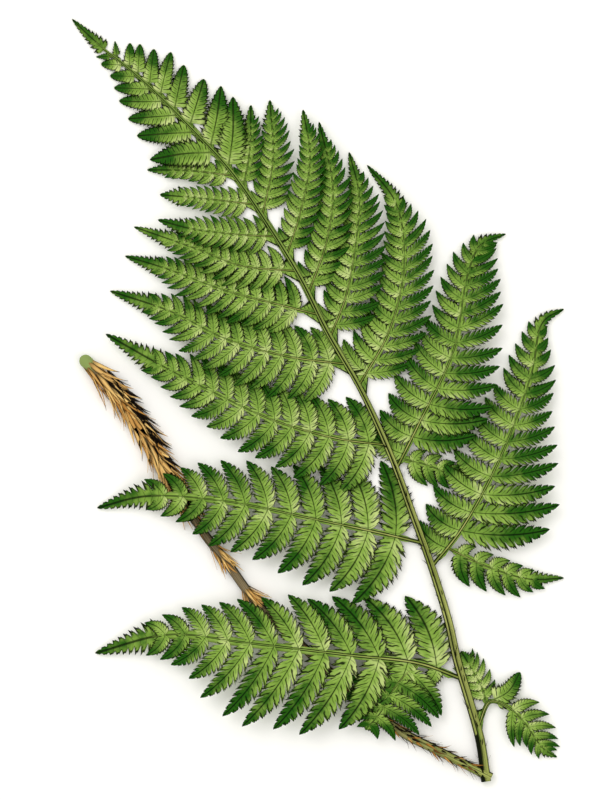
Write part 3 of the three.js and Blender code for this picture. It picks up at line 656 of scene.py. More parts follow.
# %% [markdown]
# ## One rule that draws a rib along a line
#
# A rib is a round cord that gets thinner outward. Sweeping a circle along the line, scaled by a thickness
# kept on its points, gives an even tube whatever the line does, with far fewer numbers than a modelled mesh.

# %% Geometry Nodes: rib along a line
tree, sockets, given = new_tree("rib along a line", ("Sides", "Int", 8))
rib_rule = (tree, sockets)
curve = add(tree, "GeometryNodeMeshToCurve", {"Mesh": given["Geometry"]})
sized = add(tree, "GeometryNodeSetCurveRadius", {"Curve": curve, "Radius": named(tree, "thick")})
upright = add(tree, "GeometryNodeSetCurveNormal", {"Curve": sized}, mode="Z_UP")
ring = add(tree, "GeometryNodeCurvePrimitiveCircle", {"Resolution": given["Sides"], "Radius": 1.0})
# The ring's sides are marked so that the finish paints shade along the rib's flanks.
marked = add(tree, "GeometryNodeStoreNamedAttribute",
             {"Geometry": ring, "Name": "groove", "Value": abs(position_of(tree)[0])},
             data_type="FLOAT", domain="POINT")
swept = add(tree, "GeometryNodeCurveToMesh",
            {"Curve": upright, "Profile Curve": marked, "Fill Caps": True, "Scale": named(tree, "thick")})
smooth = add(tree, "GeometryNodeSetShadeSmooth", {0: swept})
real = add(tree, "GeometryNodeRealizeInstances", {"Geometry": between(tree, smooth, given)})
end_tree(tree, real, given)


def grow(source, rule, values, name):
    """Runs a tree on an object and returns the plain mesh it makes."""
    tree, sockets = rule
    modifier = show(source).modifiers.new("grow", "NODES")
    modifier.node_group = tree
    for label, value in values.items():
        modifier[sockets[label]] = value
    bpy.context.view_layer.update()
    evaluated = source.evaluated_get(bpy.context.evaluated_depsgraph_get())
    mesh = bpy.data.meshes.new_from_object(evaluated)
    bpy.data.objects.remove(source)
    return show(bpy.data.objects.new(name, mesh))


print("trees", [tree.name for tree in bpy.data.node_groups])

# %% [markdown]
# ## The finishes
#
# The leaf is a satin green that runs from yellow-green at a leaflet's foot to a deep green at its tip, with a
# dark middle vein and side veins, short strokes of painted shade inward from every notch, a broken rim of
# painted shade, and painted shade on one half of every leaflet and on the foot side of right branches. The
# leaf coordinates laid down with the patterns say where each of these lies, so no picture is needed. Stalk
# and ribs are olive to grey-brown with lengthwise lines and painted shade in their furrows and along their
# flanks, and the scales are thin golden paper that darkens at the foot, with painted shade along both edges.

# %% Small tools for the finishes
SHEEN = 0.04


def paint(red, green, blue):
    """A colour as a screen shows it, turned into linear light."""
    values = [c / 255 for c in (red, green, blue)]
    return [c / 12.92 if c <= 0.04045 else ((c + 0.055) / 1.055) ** 2.4 for c in values] + [1]


def facts_of(tree, *labels):
    return [value_of(tree, "ShaderNodeAttribute", None, "Fac", attribute_name=label) for label in labels]


def ramp(value, low, high):
    """0 below low, 1 above high, smooth between."""
    return value_of(value.tree, "ShaderNodeMapRange", {"Value": value, "From Min": low, "From Max": high},
                    interpolation_type="SMOOTHSTEP")


def blend(factor, first, second):
    return value_of(factor.tree, "ShaderNodeMix", {0: factor, 6: first, 7: second}, 2, data_type="RGBA",
                    clamp_factor=True)


def noise(tree, where, scale, detail):
    return value_of(tree, "ShaderNodeTexNoise", {"Vector": where, "Scale": scale, "Detail": detail})


def grain(tree, scale, detail=3.0):
    return noise(tree, value_of(tree, "ShaderNodeTexCoord", None, "Object"), scale, detail)


def finish(name, tree, colour, height, roughness, bump=0.3, depth=0.0001):
    """Closes a group on its colour and relief, and makes the material that takes them."""
    for label, kind in (("Color", "Color"), ("Relief", "Float")):
        tree.interface.new_socket(label, in_out="OUTPUT", socket_type="NodeSocket" + kind)
    add(tree, "NodeGroupOutput", {"Color": colour, "Relief": height})
    material = bpy.data.materials.new(name)
    material.use_nodes = True
    inside = material.node_tree
    shader = inside.nodes["Principled BSDF"]
    group = add(inside, "ShaderNodeGroup", node_tree=tree)
    relief = add(inside, "ShaderNodeBump",
                 {"Height": Value(inside, group.outputs["Relief"]), "Strength": bump, "Distance": depth})
    inside.links.new(group.outputs["Color"], shader.inputs["Base Color"])
    inside.links.new(relief.outputs[0], shader.inputs["Normal"])
    shader.inputs["Roughness"].default_value = roughness
    shader.inputs["Specular IOR Level"].default_value = SHEEN
    return material


# %% The leaf's finish
LIGHT_GREEN = paint(190, 204, 128)
FULL_GREEN = paint(130, 162, 66)
DEEP_GREEN = paint(34, 84, 10)
# Near-black green for the veins, and for the painted shade of the notch strokes and the rim.
VEIN_AND_SHADE_GREEN = paint(2, 10, 0)
PALE_UNDERSIDE = paint(160, 184, 120)
SPORE_BROWN = paint(176, 120, 70)

tree = bpy.data.node_groups.new("leaf colour", "ShaderNodeTree")
reach, aside, rank, rim, under, spore, tone, deep = facts_of(
    tree, "along", "across", "rank", "rim", "under", "spore", "tone", "deep")
off_middle = abs(aside)
# How deep the green is, with painted shade: aside * -0.16 darkens one half of every leaflet, and tone brings
# in the painted shade on the foot side of right branches.
green_depth_and_shade = reach * (0.62 + deep * 0.08) + off_middle * -0.12
green_depth_and_shade = green_depth_and_shade + grain(tree, 300) * 0.8 + tone * 0.2 + aside * -0.16
colour = blend(ramp(green_depth_and_shade, 0.0, 0.5), LIGHT_GREEN, FULL_GREEN)
colour = blend(ramp(green_depth_and_shade, 0.4, 0.95), colour, DEEP_GREEN)
phase = calc("FRACT", rank + grain(tree, 500, 1.0) * 0.5)
from_notch = calc("MINIMUM", phase, 1.0 - phase) * (1.0 + deep * 0.2)
# Strokes inward from every notch are painted shade between the lobes; the relief also sinks them a little.
notch_shade = (1.0 - ramp(from_notch, 0.04, 0.17)) * ramp(off_middle + deep * 0.14, 0.26, 0.42)
side_vein = (1.0 - ramp(abs(phase - 0.55), 0.01, 0.1)) * (1.0 - ramp(off_middle, 0.4, 0.62))
vein_width = 0.04 + ramp(reach, 0.1, 0.6) * 0.045
vein = 1.0 - ramp(off_middle / vein_width, 0.3, 1.1)
# The broken dark rim along the margin and the teeth is painted shade.
broken = ramp(grain(tree, 1400, 1.0), 0.25, 0.5) * 0.95
# Veins darken in the leaf's own colour; the notch strokes and the broken rim are painted shade.
for vein_and_shade_mark in (notch_shade * 0.95, side_vein * 0.5, vein * 0.86, ramp(rim - deep * 0.15, 0.2, 0.55) * broken):
    colour = blend(vein_and_shade_mark, colour, VEIN_AND_SHADE_GREEN)
colour = blend(under, colour, blend(spore, PALE_UNDERSIDE, SPORE_BROWN))
relief = vein * -1.0 + notch_shade * -0.8 + grain(tree, 2400) * 0.4
leaf = finish("leaf", tree, colour, relief, 0.5)

# %% The ribs' and the stalk's finish
RIB_OLIVE = paint(170, 174, 98)
RIB_SHADE = paint(112, 126, 50)
# Near-black, for the stalk's own cracks and for painted shade.
RIB_DARK = paint(14, 20, 4)
RIB_GREEN = paint(124, 152, 66)
STALK_BROWN = paint(134, 118, 88)
STALK_DARK = paint(56, 46, 30)
CUT_GREEN = paint(132, 150, 84)

tree = bpy.data.node_groups.new("stalk colour", "ShaderNodeTree")
reach, groove, bark, cut, around, fresh = facts_of(tree, "along", "groove", "bark", "cut", "around", "fresh")
lines = noise(tree, add(tree, "ShaderNodeCombineXYZ", {0: around * 26.0, 1: reach * 9.0}), 1.0, 2.0)
olive = blend(fresh, blend(ramp(lines, 0.36, 0.6), RIB_SHADE, RIB_OLIVE), RIB_GREEN)
brown = blend(ramp(lines, 0.34, 0.52), STALK_DARK, STALK_BROWN)
# Shade is painted near-black in the furrows and along the flanks of ribs and stalk, and on the main rib's
# left flank near the fold; the cracks are the stalk's own lengthwise streaks.
olive, brown = (blend(ramp(groove, 0.2, 0.6), blend(crack, plain, RIB_DARK), RIB_DARK)
                for plain, crack in ((olive, ramp(lines, 0.6, 0.68)), (brown, ramp(lines, 0.58, 0.66))))
colour = blend(cut, blend(bark, olive, brown), CUT_GREEN)
stalk_skin = finish("stalk skin", tree, colour, lines, 0.55, bump=0.5, depth=0.0002)

# %% The scales' finish
SCALE_GOLD = paint(230, 190, 116)
SCALE_BROWN = paint(178, 122, 52)
SCALE_DARK = paint(22, 14, 6)

tree = bpy.data.node_groups.new("scale colour", "ShaderNodeTree")
reach, aside, tone = facts_of(tree, "along", "across", "tone")
gold = blend(ramp(tone, -0.2, 0.9), SCALE_GOLD, SCALE_BROWN)
gold = blend(ramp(tone, 0.9, 1.6), gold, SCALE_DARK)
# Shade is painted dark along both edges of every scale.
gold = blend(ramp(abs(aside), 0.6, 0.95) * 0.7, gold, SCALE_DARK)
gold = blend((1.0 - ramp(reach, 0.0, 0.35)) * 0.6, gold, SCALE_DARK)
scale_skin = finish("scale skin", tree, gold, grain(tree, 1500, 2.0), 0.42)
print("finishes", [m.name for m in (leaf, stalk_skin, scale_skin)])

# %% [markdown]
# ## The branches
#
# Each branch is one fine piece: the leaflets grown on its points, the toothed blade its outer end runs into,
# a narrow green wing along the rib, a green web where a larger branch meets the main rib, and the raised rib
# itself. They are joined into a single mesh, since on the plant they are one grown thing.

# %% Turn a leaflet's facts into a point
BIG_FROM = 11 * MM
SMALL_BELOW = 5.6 * MM
SHINGLE = 0.09
MOST_LEAN = 0.22
LEAF_THICK = 1.1 * MM
# Tone added as painted shade to the foot side of right branches.
SHADED_SIDE = 0.9


def aim_of(row):
    """The Euler angles of a leaflet that follows its own slope and the slope of its rib."""
    slope = (row["z"][2] - row["z"][0]) / row["size"]
    heading, ahead = row["heading"], row["ahead"]
    left = left_of(heading)
    cos_a, sin_a = float(heading @ ahead), float(left @ ahead)
    lean = (row["rib_slope"] - cos_a * slope) / sin_a if abs(sin_a) > 0.3 else 0.0
    lean = max(-MOST_LEAN, min(MOST_LEAN, lean)) + SHINGLE * row["turn"]
    x = Vector((heading[0], heading[1], slope)).normalized()
    y = Vector((left[0], left[1], lean))
    y = (y - x * y.dot(x)).normalized()
    return Matrix((x, y, x.cross(y))).transposed().to_euler("XYZ")


def point_cloud(name, rows):
    """A mesh of loose points that carries aim, reach, pattern, sag and tone."""
    mesh = bpy.data.meshes.new(name)
    mesh.from_pydata([r["co"] for r in rows], [], [])
    number_points(mesh, {key: [r[key] for r in rows] for key in ("aim", "reach")}, "FLOAT_VECTOR")
    number_points(mesh, {"pattern": [r["pattern"] for r in rows]}, "INT")
    number_points(mesh, {key: [r.get(key, 0.0) for r in rows] for key in ("sag", "tone")})
    return bpy.data.objects.new(name, mesh)


def leaflet_point(branch, row):
    """A leaflet's facts as a point. On right branches the side towards the foot is painted a deeper green as
    shade.
    """
    size = row["size"]
    deeper = SHADED_SIDE if branch["name"].startswith("R") and row["turn"] < 0 else 0.0
    kind = 0 if size > BIG_FROM else 4 if size < SMALL_BELOW else 2
    z0, z1, z2 = row["z"]
    return {"co": (row["at"][0], row["at"][1], z0), "aim": tuple(aim_of(row)),
            "reach": (size, row["half"], min(max(size * 0.1, 0.5 * MM), LEAF_THICK)),
            "pattern": kind + (0 if row["turn"] > 0 else 1), "sag": z1 - (z0 + z2) / 2,
            "tone": 1.2 * (row["share"] - 0.5) + 0.6 * draw() + deeper + branch["tint"]}


# %% The wing and the rib of a branch
RIB_MOST = 0.36 * MM
RIB_LEAST = 0.13 * MM
WING_LEAST = 0.9 * MM
WING_STEP = 1.2 * MM
# across, height in mm, whether on the lower skin, whether on the rim
WING_SECTION = ((-1, 0, 0, 1), (-0.4, 0.05, 0, 0), (0.4, 0.05, 0, 0), (1, 0, 0, 1), (0.5, -0.12, 1, 0),
                (-0.5, -0.12, 1, 0))
SECTION_FACTS = ("along", "across", "rank", "under", "rim", "tone")


def polyline(name, points, **facts):
    """A row of points joined by edges, with numbers on the points."""
    mesh = bpy.data.meshes.new(name)
    mesh.from_pydata([tuple(p) for p in points], [(i, i + 1) for i in range(len(points) - 1)], [])
    number_points(mesh, facts)
    return bpy.data.objects.new(name, mesh)


def rib_thickness(branch, share):
    base = min(RIB_MOST, RIB_LEAST + branch["line"].length * 0.003) * branch["foot"]
    return base * max(1 - 1.1 * share, 0.2)


def wing_mesh(name, branch):
    """A thin green strip along the rib, as wide as the plain solid's."""
    line, height = rib_of(branch)
    bare, shares = stations_of(branch)
    steps = max(8, int(line.length / WING_STEP))
    skin = Skin(*SECTION_FACTS)
    for i in range(steps + 1):
        u = i / steps
        across = left_of(line.heading(u))
        local = clamp((u - bare) / max(shares[-1] - bare, 0.01))
        tip = min(1, (1 - u) * 12)
        for k, (aside, lift, under, rim) in enumerate(WING_SECTION):
            wide = RIB_HALF_WIDTH * branch["foot"] * (0.9 if u < bare else 1)
            if u >= bare:
                length = along(branch["low" if aside * branch["turn"] > 0 else "up"], local)
                joined = 0.04 + 0.5 * clamp((7 - length) / 4) + 0.3 * local ** 3
                wide = max(WING_LEAST, length * MM * joined * 0.82)
            if u > branch["tail_from"]:
                wide = RIB_HALF_WIDTH * 0.7 * (1 - u)
            by_rib = k in (1, 2)
            if by_rib:
                beside = (rib_thickness(branch, u) + 0.06 * MM) / max(wide, 1e-5)
                aside = math.copysign(min(0.9, beside), aside)
            p = line.at(u) + across * aside * wide * tip
            up = settled(p, height(u) + aside * wide * branch["turn"] * branch["roll"]) - 0.1 * MM + lift * MM
            skin.put((p[0], p[1], max(up, GROUND)), 0.25, 0.0 if by_rib else 0.5, 0.5, under,
                     rim if u < bare else 0, 0.0)
    return skin.tube(len(WING_SECTION)).become(name, leaf)


# %% The web at a branch's foot and its joined outer end
CORNER_STEPS = 6
CORNER_MOST = 5 * MM
CORNER_SHARE = 0.62
CORNER_OUT = 1.3
CORNER_SECTION = ((-1, 0, 0, 1), (-0.6, 0.05, 0, 0), (0, 0.05, 0, 0), (0.6, 0.05, 0, 0), (1, 0, 0, 1),
                  (0.5, -0.12, 1, 0), (-0.5, -0.12, 1, 0))
WHOLE_OUTLINE = ((0, 0.08, 0.2, 0.35, 0.5, 0.65, 0.8, 0.9, 0.96, 1),
                 (1.5, 1.35, 1.12, 1.0, 0.9, 0.76, 0.56, 0.38, 0.22, 0.02))
BROAD_OUTLINE = (WHOLE_OUTLINE[0], (1.06, 1.08, 1.04, 0.97, 0.87, 0.71, 0.47, 0.29, 0.16, 0.02))
BROAD_FROM = 3.8
END_OUTLINE = ((0, 0.15, 0.3, 0.5, 0.7, 0.85, 0.95, 1), (0.95, 0.84, 0.7, 0.52, 0.36, 0.23, 0.12, 0.01))
TAIL_ROWS = (0.08, 0.32, 0.66)
LOBE_STEP = 0.8 * MM
TAIL_SHEAR = 0.6
TAIL_THICK = 0.9 * MM


def corner_mesh(name, branch):
    """The green web between a branch's foot and the main rib."""
    line, height = rib_of(branch)
    share = rachis_line.nearest(line.at(0))
    along_rib = min(CORNER_SHARE * branch["low"][0] * MM, CORNER_MOST)
    out_share = CORNER_OUT * along_rib / line.length
    skin = Skin(*SECTION_FACTS)
    for i in range(CORNER_STEPS + 1):
        t = i / CORNER_STEPS
        for aside, lift, under, rim in CORNER_SECTION:
            step = math.copysign(along_rib / rachis_line.length, aside * branch["turn"])
            spread = (rachis_line.at(share - step) - line.at(0)) * abs(aside) * ((1 - t) ** 1.3 + 0.03)
            p = line.at(t * out_share) + spread
            up = settled(p, height(t * out_share)) - 0.12 * MM + lift * MM
            skin.put((p[0], p[1], max(up, GROUND)), 0.3, aside, 5 * t, under, rim, 0.0)
    return skin.tube(len(CORNER_SECTION)).become(name, leaf)


def tail_mesh(name, branch):
    """The outer end of a branch, where short leaflets are joined into one toothed blade along the rib."""
    line, height = rib_of(branch)
    start = branch["tail_from"]
    whole = start < 0.15 and branch["name"] != "Tip"
    widest = max(branch["tail_half"]) / MM
    lobes = max(5, round((1 - start) * line.length / (LOBE_STEP * (1 + (0.2 if whole else 0.3) * widest))))
    notch = max(0.9 - 0.035 * widest, 0.7) if whole else max(0.86 - 0.06 * widest, 0.5)
    teeth = ((0, notch), (0.34, 0.97), (0.43, 0.88), (0.74, 1.1), (0.88, (0.95 + notch) / 2))
    skin = Skin("along", "across", "rank", "under", "rim", "tone", "deep")
    tone = 0.5 * draw() - (0.3 if whole else 0)

    def put(u, y, z, under, rim=0.0):
        half = branch["tail_half"][0 if y > 0 else 1]
        ahead_by = TAIL_SHEAR * abs(y) * half * min(1, 0.2 + 3 * u) * (1 - u) ** 0.5 / line.length
        share = min(start + (1 - start) * u + ahead_by, 1)
        p = line.at(share) + left_of(line.heading(share)) * y * half
        rolled = height(share) + y * half * branch["turn"] * branch["roll"]
        up = settled(p, rolled) - 0.1 * MM + z * TAIL_THICK
        shown = 1.2 * u - 0.1 if whole else 0.4 + 0.6 * u
        return skin.put((p[0], p[1], max(up, GROUND + (0 if under else SKIN_APART))), shown, y, u * lobes,
                        under, rim, tone, float(whole))

    outline = END_OUTLINE if not whole else BROAD_OUTLINE if widest > BROAD_FROM else WHOLE_OUTLINE
    skin.faces = weave(lobes, teeth, TAIL_ROWS, outline, put)
    return skin.become(name, leaf)


# %% Join what belongs to a branch
WEB_FROM = 3
WEB_BELOW = 15


def join(name, parts):
    """One object from several, kept at the origin."""
    bpy.context.view_layer.update()
    with bpy.context.temp_override(active_object=parts[0], object=parts[0], selected_objects=parts,
                                   selected_editable_objects=parts):
        bpy.ops.object.join()
    parts[0].name = name
    return parts[0]


def branch_piece(branch, seed):
    name = branch["name"].replace(" ", "_")
    line, height = rib_of(branch)
    rows = leaflets[branch["name"]]
    parts = [tail_mesh(name + "_tail", branch), wing_mesh(name + "_wing", branch)]
    if "on" not in branch and WEB_FROM < branch["low"][0] < WEB_BELOW:
        parts.append(corner_mesh(name + "_corner", branch))
    if rows:
        cloud = point_cloud(name + "_points", [leaflet_point(branch, row) for row in rows])
        parts.insert(0, grow(cloud, pattern_rule, {
            "Patterns": pattern_shelf, "Material": leaf, "Ground": GROUND, "Tilt spread": 0.05,
            "Seed": seed}, name + "_leaflets"))
    shares = np.linspace(0, max(0.3, branch["tail_from"] + 0.03), max(10, int(line.length / MM)))
    points = [(*line.at(u), settled(line.at(u), height(u)) + 0.02 * MM) for u in shares]
    thick = [rib_thickness(branch, u) for u in shares]
    fresh = [clamp((u - 0.1) / 0.4) if line.length > 25 * MM else 1.0 for u in shares]
    rib = grow(polyline(name + "_line", points, thick=thick, along=shares, fresh=fresh), rib_rule,
               {"Sides": 8, "Material": stalk_skin, "Ground": GROUND}, name + "_rib")
    return join(f"branch_{name}", parts + [rib])


branch_pieces = [branch_piece(branch, seed) for seed, branch in enumerate(BRANCHES)]
print(len(branch_pieces), "branches,", sum(len(p.data.polygons) for p in branch_pieces), "faces")

# %% [markdown]
# ## The main rib and the stalk
#
# Both are drawn as a row of rings. The main rib is grooved along its upper side, as buckler ferns do, and
# has fine ridges; shade is painted dark in its furrow and along its flanks, and on its left side near the
# fold, where it turns from the light. The stalk is rounder, browner towards its old end, with painted shade
# along its flanks, and swollen where it was pulled off.

# %% Rings along a line
CAP_INSET = 0.86


def none_at(share):
    return 0.0


# A section's third number is painted shade; in the middle it grows towards the tip, and up to the share
# dark_left_to the left flank is painted fully dark as shade.
def ringed(name, line, section, shares, radius_at, floor, base_at=None, bark_at=none_at, cut_at=none_at,
           fresh_at=none_at, dark_left_to=0):
    """A body of rings. base_at gives the radius that sets how high the middle lies."""
    base_at = base_at or radius_at
    skin = Skin("along", "groove", "bark", "cut", "around", "fresh")
    sides = len(section)
    for u in shares:
        centre, ahead, r = line.at(u), line.heading(u), radius_at(u)
        for k, (across, up, groove) in enumerate(section):
            p = centre + np.array([ahead[1], -ahead[0]]) * across * r
            shown = groove * (0.5 + 0.6 * u) if abs(across) < 0.5 else groove
            if across < -0.25 and u < dark_left_to:
                shown = 1
            skin.put((p[0], p[1], max(0, up * r + floor * base_at(u))), u, shown, bark_at(u), cut_at(u),
                     abs(2 * k / sides - 1), fresh_at(u))
    skin.tube(sides, closed=False)
    for first, sign in ((0, 1), ((len(shares) - 1) * sides, -1)):
        ring = skin.points[first:first + sides]
        middle = np.mean(ring, axis=0)
        inner = [skin.put(middle + (np.array(p) - middle) * CAP_INSET, 0, 0, 0, 1.0, 0.5, 0) for p in ring]
        rim = [(first + k, first + (k + 1) % sides, inner[(k + 1) % sides], inner[k]) for k in range(sides)]
        skin.faces += [f if sign > 0 else f[::-1] for f in rim + [tuple(inner)]]
    skin.faces = [f[::-1] for f in skin.faces]
    return skin.become(name, stalk_skin)


# %% The main rib
RIB_FLOOR = 0.85
# across, height, darkness as painted shade in the furrow and on the flanks, going round from the underside
GROOVED = ((0.7, -0.85, 0), (0.96, -0.3, 0.4), (1, 0.1, 1), (0.9, 0.55, 1), (0.8, 0.75, 0.2),
           (0.62, 0.93, 0), (0.42, 0.95, 0), (0.27, 0.84, 0), (0.2, 0.74, 0.4), (0.08, 0.66, 0.5),
           (0, 0.64, 0.7), (-0.2, 0.74, 1), (-0.3, 0.84, 1), (-0.42, 0.95, 0.2), (-0.62, 0.93, 0),
           (-0.8, 0.75, 0.6), (-0.9, 0.55, 1), (-1, 0.1, 1), (-0.96, -0.3, 0.4), (-0.7, -0.85, 0))
rib_body = ringed("rib_body", rachis_line, GROOVED, np.linspace(0, 1, 241), rachis_radius, RIB_FLOOR,
                  fresh_at=lambda u: clamp((u - 0.35) / 0.4), dark_left_to=0.055)
upper_wing = {**USUAL, "name": "main rib", "turn": 1, "line": rachis_line,
              "height": lambda u: 0.8 * rachis_radius(u), "foot_radius": 0, "foot": 0.1, "bare": 0.55,
              "count": 12, "up": [2.6, 2], "low": [2.6, 2], "tail_from": 1, "roll": 0}
main_rib = join("main_rib", [rib_body, wing_mesh("upper_wing", upper_wing)])
print("main rib", len(main_rib.data.polygons), "faces")

# %% The stalk
STALK_SIDES = 24
STIPE_FLOOR = math.cos(math.pi / 10)
SWOLLEN = 0.05
KNOB = 0.012
KNOB_SHARES = (0.0, 0.0003, 0.001, 0.002, 0.0035, 0.0055, 0.008, 0.012, 0.018)
# Each side of the stalk: across, height and painted shade, full on both flanks and lighter along every third
# side, which is set in a little.
RIDGED = []
for k in range(STALK_SIDES):
    angle = 2 * math.pi * (k + 0.5) / STALK_SIDES - math.pi / 2
    ridge = k % 3 == 0
    swell = 1 - 0.05 * ridge
    at_side = abs(math.cos(angle)) > 0.88 and math.sin(angle) > -0.3
    RIDGED.append((math.cos(angle) * swell, math.sin(angle) * swell, max(0.45 * ridge, float(at_side))))


def stipe_radius(share):
    return STIPE_RADIUS + (STIPE_END_RADIUS - STIPE_RADIUS) * max(0, 1 - share / SWOLLEN) ** 0.7


def knobbed_radius(share):
    """The stalk's radius with its pulled-off end rounded like a knob."""
    return stipe_radius(share) * math.sqrt(max(1 - max(0, 1 - share / KNOB) ** 2, 0.06))


def bark(share):
    """0 where the stalk is still green: near the fold and at the swollen end."""
    return clamp((0.97 - share) / 0.25) * clamp((share - 0.024) / 0.01)


stipe_shares = [*KNOB_SHARES, *np.linspace(0.024, 1, 214)]
stalk_bar = ringed("stalk_bar", stipe_line, RIDGED, stipe_shares, knobbed_radius, STIPE_FLOOR,
                   base_at=stipe_radius, bark_at=bark, cut_at=lambda u: clamp((0.026 - u) / 0.006))
print("stalk", len(stalk_bar.data.polygons), "faces")

# %% [markdown]
# ## The scales
#
# The scales are thin papery ribbons, broad at the foot, drawn out to a long point, and all lying towards the
# fold like thatch, with painted shade along both edges. Near the cut end they hide the stalk, and a band of
# them on its shaded side is painted dark as shade; lower down only tufts and single hairs are left. They are
# patterns on points too: straight, curled to either side, and rising ones. A few thin dark ones stand on the
# lower main rib.

# %% Scale patterns
SCALE_STEPS = 9
SCALE_SECTION = ((-1, 0), (0, 0.35), (1, 0), (0, -0.1))


def scale_pattern(name, curl, arch):
    skin = Skin("along", "across")
    for i in range(SCALE_STEPS + 1):
        u = i / SCALE_STEPS
        wide = 0.62 + 0.9 * u if u < 0.3 else 0.89 * (1 - (u - 0.3) / 0.7) ** 0.75 + 0.01
        for aside, lift in SCALE_SECTION:
            skin.put((u, wide * aside + curl * u * u * 3, lift * (1 - 0.7 * u) + arch * u * u * 3), u, aside)
    return skin.tube(len(SCALE_SECTION)).become(name)


scale_shelf = bpy.data.collections.new("scale patterns")
for key, curl, arch in (("a_straight", 0.1, 0.0), ("b_left", 0.6, -0.4), ("c_right", -0.6, -0.3),
                        ("d_rising", 0.25, 0.7)):
    scale_shelf.objects.link(scale_pattern(key, curl, arch))

# %% Rows of scales on the stalk and the main rib
GOLDEN_ANGLE = math.radians(137.5)
SCALES_BELOW = 3.8 * MM
RIB_SCALES_BELOW = 3.4 * MM
SCALE_GROUND = 0.06 * MM
FOOT_IN = 0.86
# from and to as shares of the line, count, length and half width in mm, spread from the stalk and width of
# the band in degrees, tone, the band's middle in degrees from the top, distance off the stalk in mm
SCALE_ROWS = (
    (0.015, 0.29, 150, 9.6, 1.0, 15, 118, 0.2, 0, 0),
    # The next two rows are scales painted dark as shade on the stalk's shaded side.
    (0.03, 0.28, 34, 9, 1.05, 13, 34, 2.6, -62, 0),
    (0.04, 0.17, 40, 8, 1.15, 3, 16, 2.6, -72, 1.4),
    (0.05, 0.3, 60, 5.6, 0.26, 27, 104, 0.1, 0, 0),
    (0.03, 0.3, 40, 4.6, 0.13, 34, 100, 1.8, 0, 0),
    (0.3, 0.39, 12, 3.2, 0.14, 14, 90, 1.0, 0, 0),
    (0.385, 0.42, 18, 6, 0.6, 18, 95, 0.3, 0, 0),
    (0.475, 0.492, 20, 6.4, 0.65, 25, 100, 0.3, 0, 0),
    (0.52, 0.8, 24, 3, 0.13, 12, 90, 1.0, 0, 0),
    (0.79, 0.97, 30, 3.6, 0.4, 27, 115, 0.9, 0, 0),
    (0.79, 0.98, 50, 3, 0.34, 29, 115, 2.4, 0, 0),
)
RIB_ROWS = ((0.0, 0.42, 64, 2.3, 0.2, 27, 115, 2.3, 0, 0),)


def scale_points(line, rows, radius_at, up_share, highest):
    """Scales as points; one that would stand above the highest place is laid flatter."""
    made = []
    for begin, end, count, reach, half, spread_most, band, tone, side, off in rows:
        for i in range(count):
            u = begin + (end - begin) * clamp((i + 0.5 + 1.5 * draw()) / count)
            around = math.radians(band) * (((i * GOLDEN_ANGLE + draw()) % (2 * math.pi)) / math.pi - 1)
            around += math.radians(side)
            spread = math.radians(spread_most * (1 + 0.35 * draw()))
            size = reach * MM * (1 + 0.22 * draw())
            ahead2, r = line.heading(u), radius_at(u)
            ahead = Vector((ahead2[0], ahead2[1], 0))
            out = Vector((0, 0, math.cos(around))) + Vector((ahead[1], -ahead[0], 0)) * math.sin(around)
            foot = Vector((*line.at(u), r * up_share)) + out * (r * FOOT_IN + off * MM)
            slope = (foot.z + math.sin(spread) * out.z * size - highest) / size
            aim = ahead * math.cos(spread) + out * math.sin(spread)
            if slope > 0:
                aim.z -= slope
            aim.normalize()
            face = (out - aim * out.dot(aim)).normalized()
            turn = Matrix((aim, face.cross(aim), face)).transposed()
            made.append({"co": tuple(foot), "aim": tuple(turn.to_euler("XYZ")),
                         "reach": (size, half * MM, half * MM * 0.8), "pattern": i % len(scale_shelf.objects),
                         "tone": tone + 0.5 * draw()})
    return made


def scale_piece(name, points, seed):
    return grow(point_cloud(name + "_points", points), pattern_rule, {
        "Patterns": scale_shelf, "Material": scale_skin, "Ground": SCALE_GROUND, "Ceiling": SCALES_BELOW,
        "Tilt spread": 0.25, "Seed": seed}, name)


stalk_scales = scale_piece("scales_of_the_stalk",
                           scale_points(stipe_line, SCALE_ROWS, stipe_radius, STIPE_FLOOR, SCALES_BELOW), 3)
rib_scales = scale_piece("scales_of_the_main_rib",
                         scale_points(rachis_line, RIB_ROWS, rachis_radius, RIB_FLOOR, RIB_SCALES_BELOW), 5)
print("scales", len(stalk_scales.data.polygons), len(rib_scales.data.polygons))

# %% [markdown]
# ## Where the pieces belong
#
# Every fine piece rides with the one body, and the plain solid it refines is hidden: green branches and the
# main rib for the blade, the stalk and its scales for the stipe.

# %% Join the pieces to the frame
owners = [(piece, "blade", "leaf") for piece in branch_pieces + [main_rib, rib_scales]]
owners += [(piece, "stipe", "stalk") for piece in (stalk_bar, stalk_scales)]
for piece, node, slot in owners:
    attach(piece, "root")
    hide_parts(node)
print(len(owners), "pieces ride with the frame")

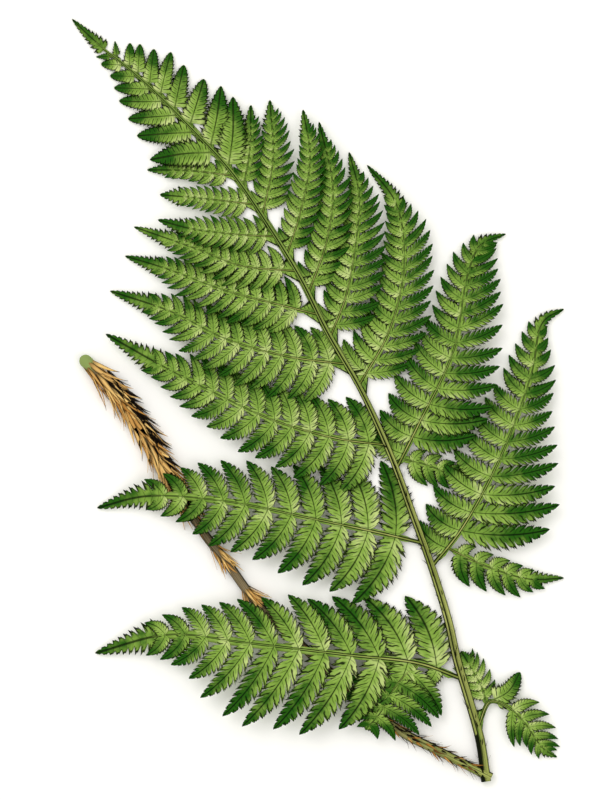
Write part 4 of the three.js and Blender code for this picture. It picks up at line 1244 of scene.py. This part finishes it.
# %% [markdown]
# ## The table, the light and the camera
#
# The frond lies on a white sheet and is seen from straight above, as a pressed plant is looked at. The light
# is broad and soft, a little stronger from the upper left, so that leaflets keep faint shadows.

# %% Table and light
ROOM_LIGHT = 0.88
FROND_MIDDLE = Vector((-0.055, 0.11, 0))

bpy.ops.mesh.primitive_plane_add(size=3, location=(0, 0.1, -0.0002))
table = bpy.context.object
table.name = "table"
white = bpy.data.materials.new("white sheet")
white.use_nodes = True
white.node_tree.nodes["Principled BSDF"].inputs["Base Color"].default_value = paint(250, 248, 243)
white.node_tree.nodes["Principled BSDF"].inputs["Roughness"].default_value = 0.9
table.data.materials.append(white)

world = bpy.data.worlds.new("soft room")
bpy.context.scene.world = world
world.use_nodes = True
world.node_tree.nodes["Background"].inputs["Color"].default_value = (1, 1, 1, 1)
world.node_tree.nodes["Background"].inputs["Strength"].default_value = ROOM_LIGHT
bpy.context.scene.view_settings.view_transform = "Standard"


def soft_light(name, where, size, power):
    data = bpy.data.lights.new(name, "AREA")
    data.size = size
    data.energy = power
    lamp = bpy.data.objects.new(name, data)
    lamp.location = where
    lamp.rotation_euler = (FROND_MIDDLE - Vector(where)).to_track_quat("-Z", "Y").to_euler()
    show(lamp)


soft_light("window", (-0.7, 0.8, 1.4), 1.0, 9)
soft_light("fill", (0.9, -0.4, 1.4), 1.0, 4)
print("lights", [lamp.name for lamp in bpy.data.lights])

# %% Camera, straight above the middle of the sheet
PICTURE_CENTRE = (300, 400)
PICTURE_HEIGHT = 800 * STEP
CAMERA_HEIGHT = 1.6
SENSOR = 36
camera_data = bpy.data.cameras.new("camera")
camera_data.sensor_fit = "VERTICAL"
camera_data.sensor_height = SENSOR
camera_data.lens = SENSOR * CAMERA_HEIGHT / PICTURE_HEIGHT
camera = bpy.data.objects.new("camera", camera_data)
middle = place(PICTURE_CENTRE)
camera.location = (middle[0], middle[1], CAMERA_HEIGHT)
bpy.context.scene.camera = show(camera)
print("lens", round(camera_data.lens, 1))
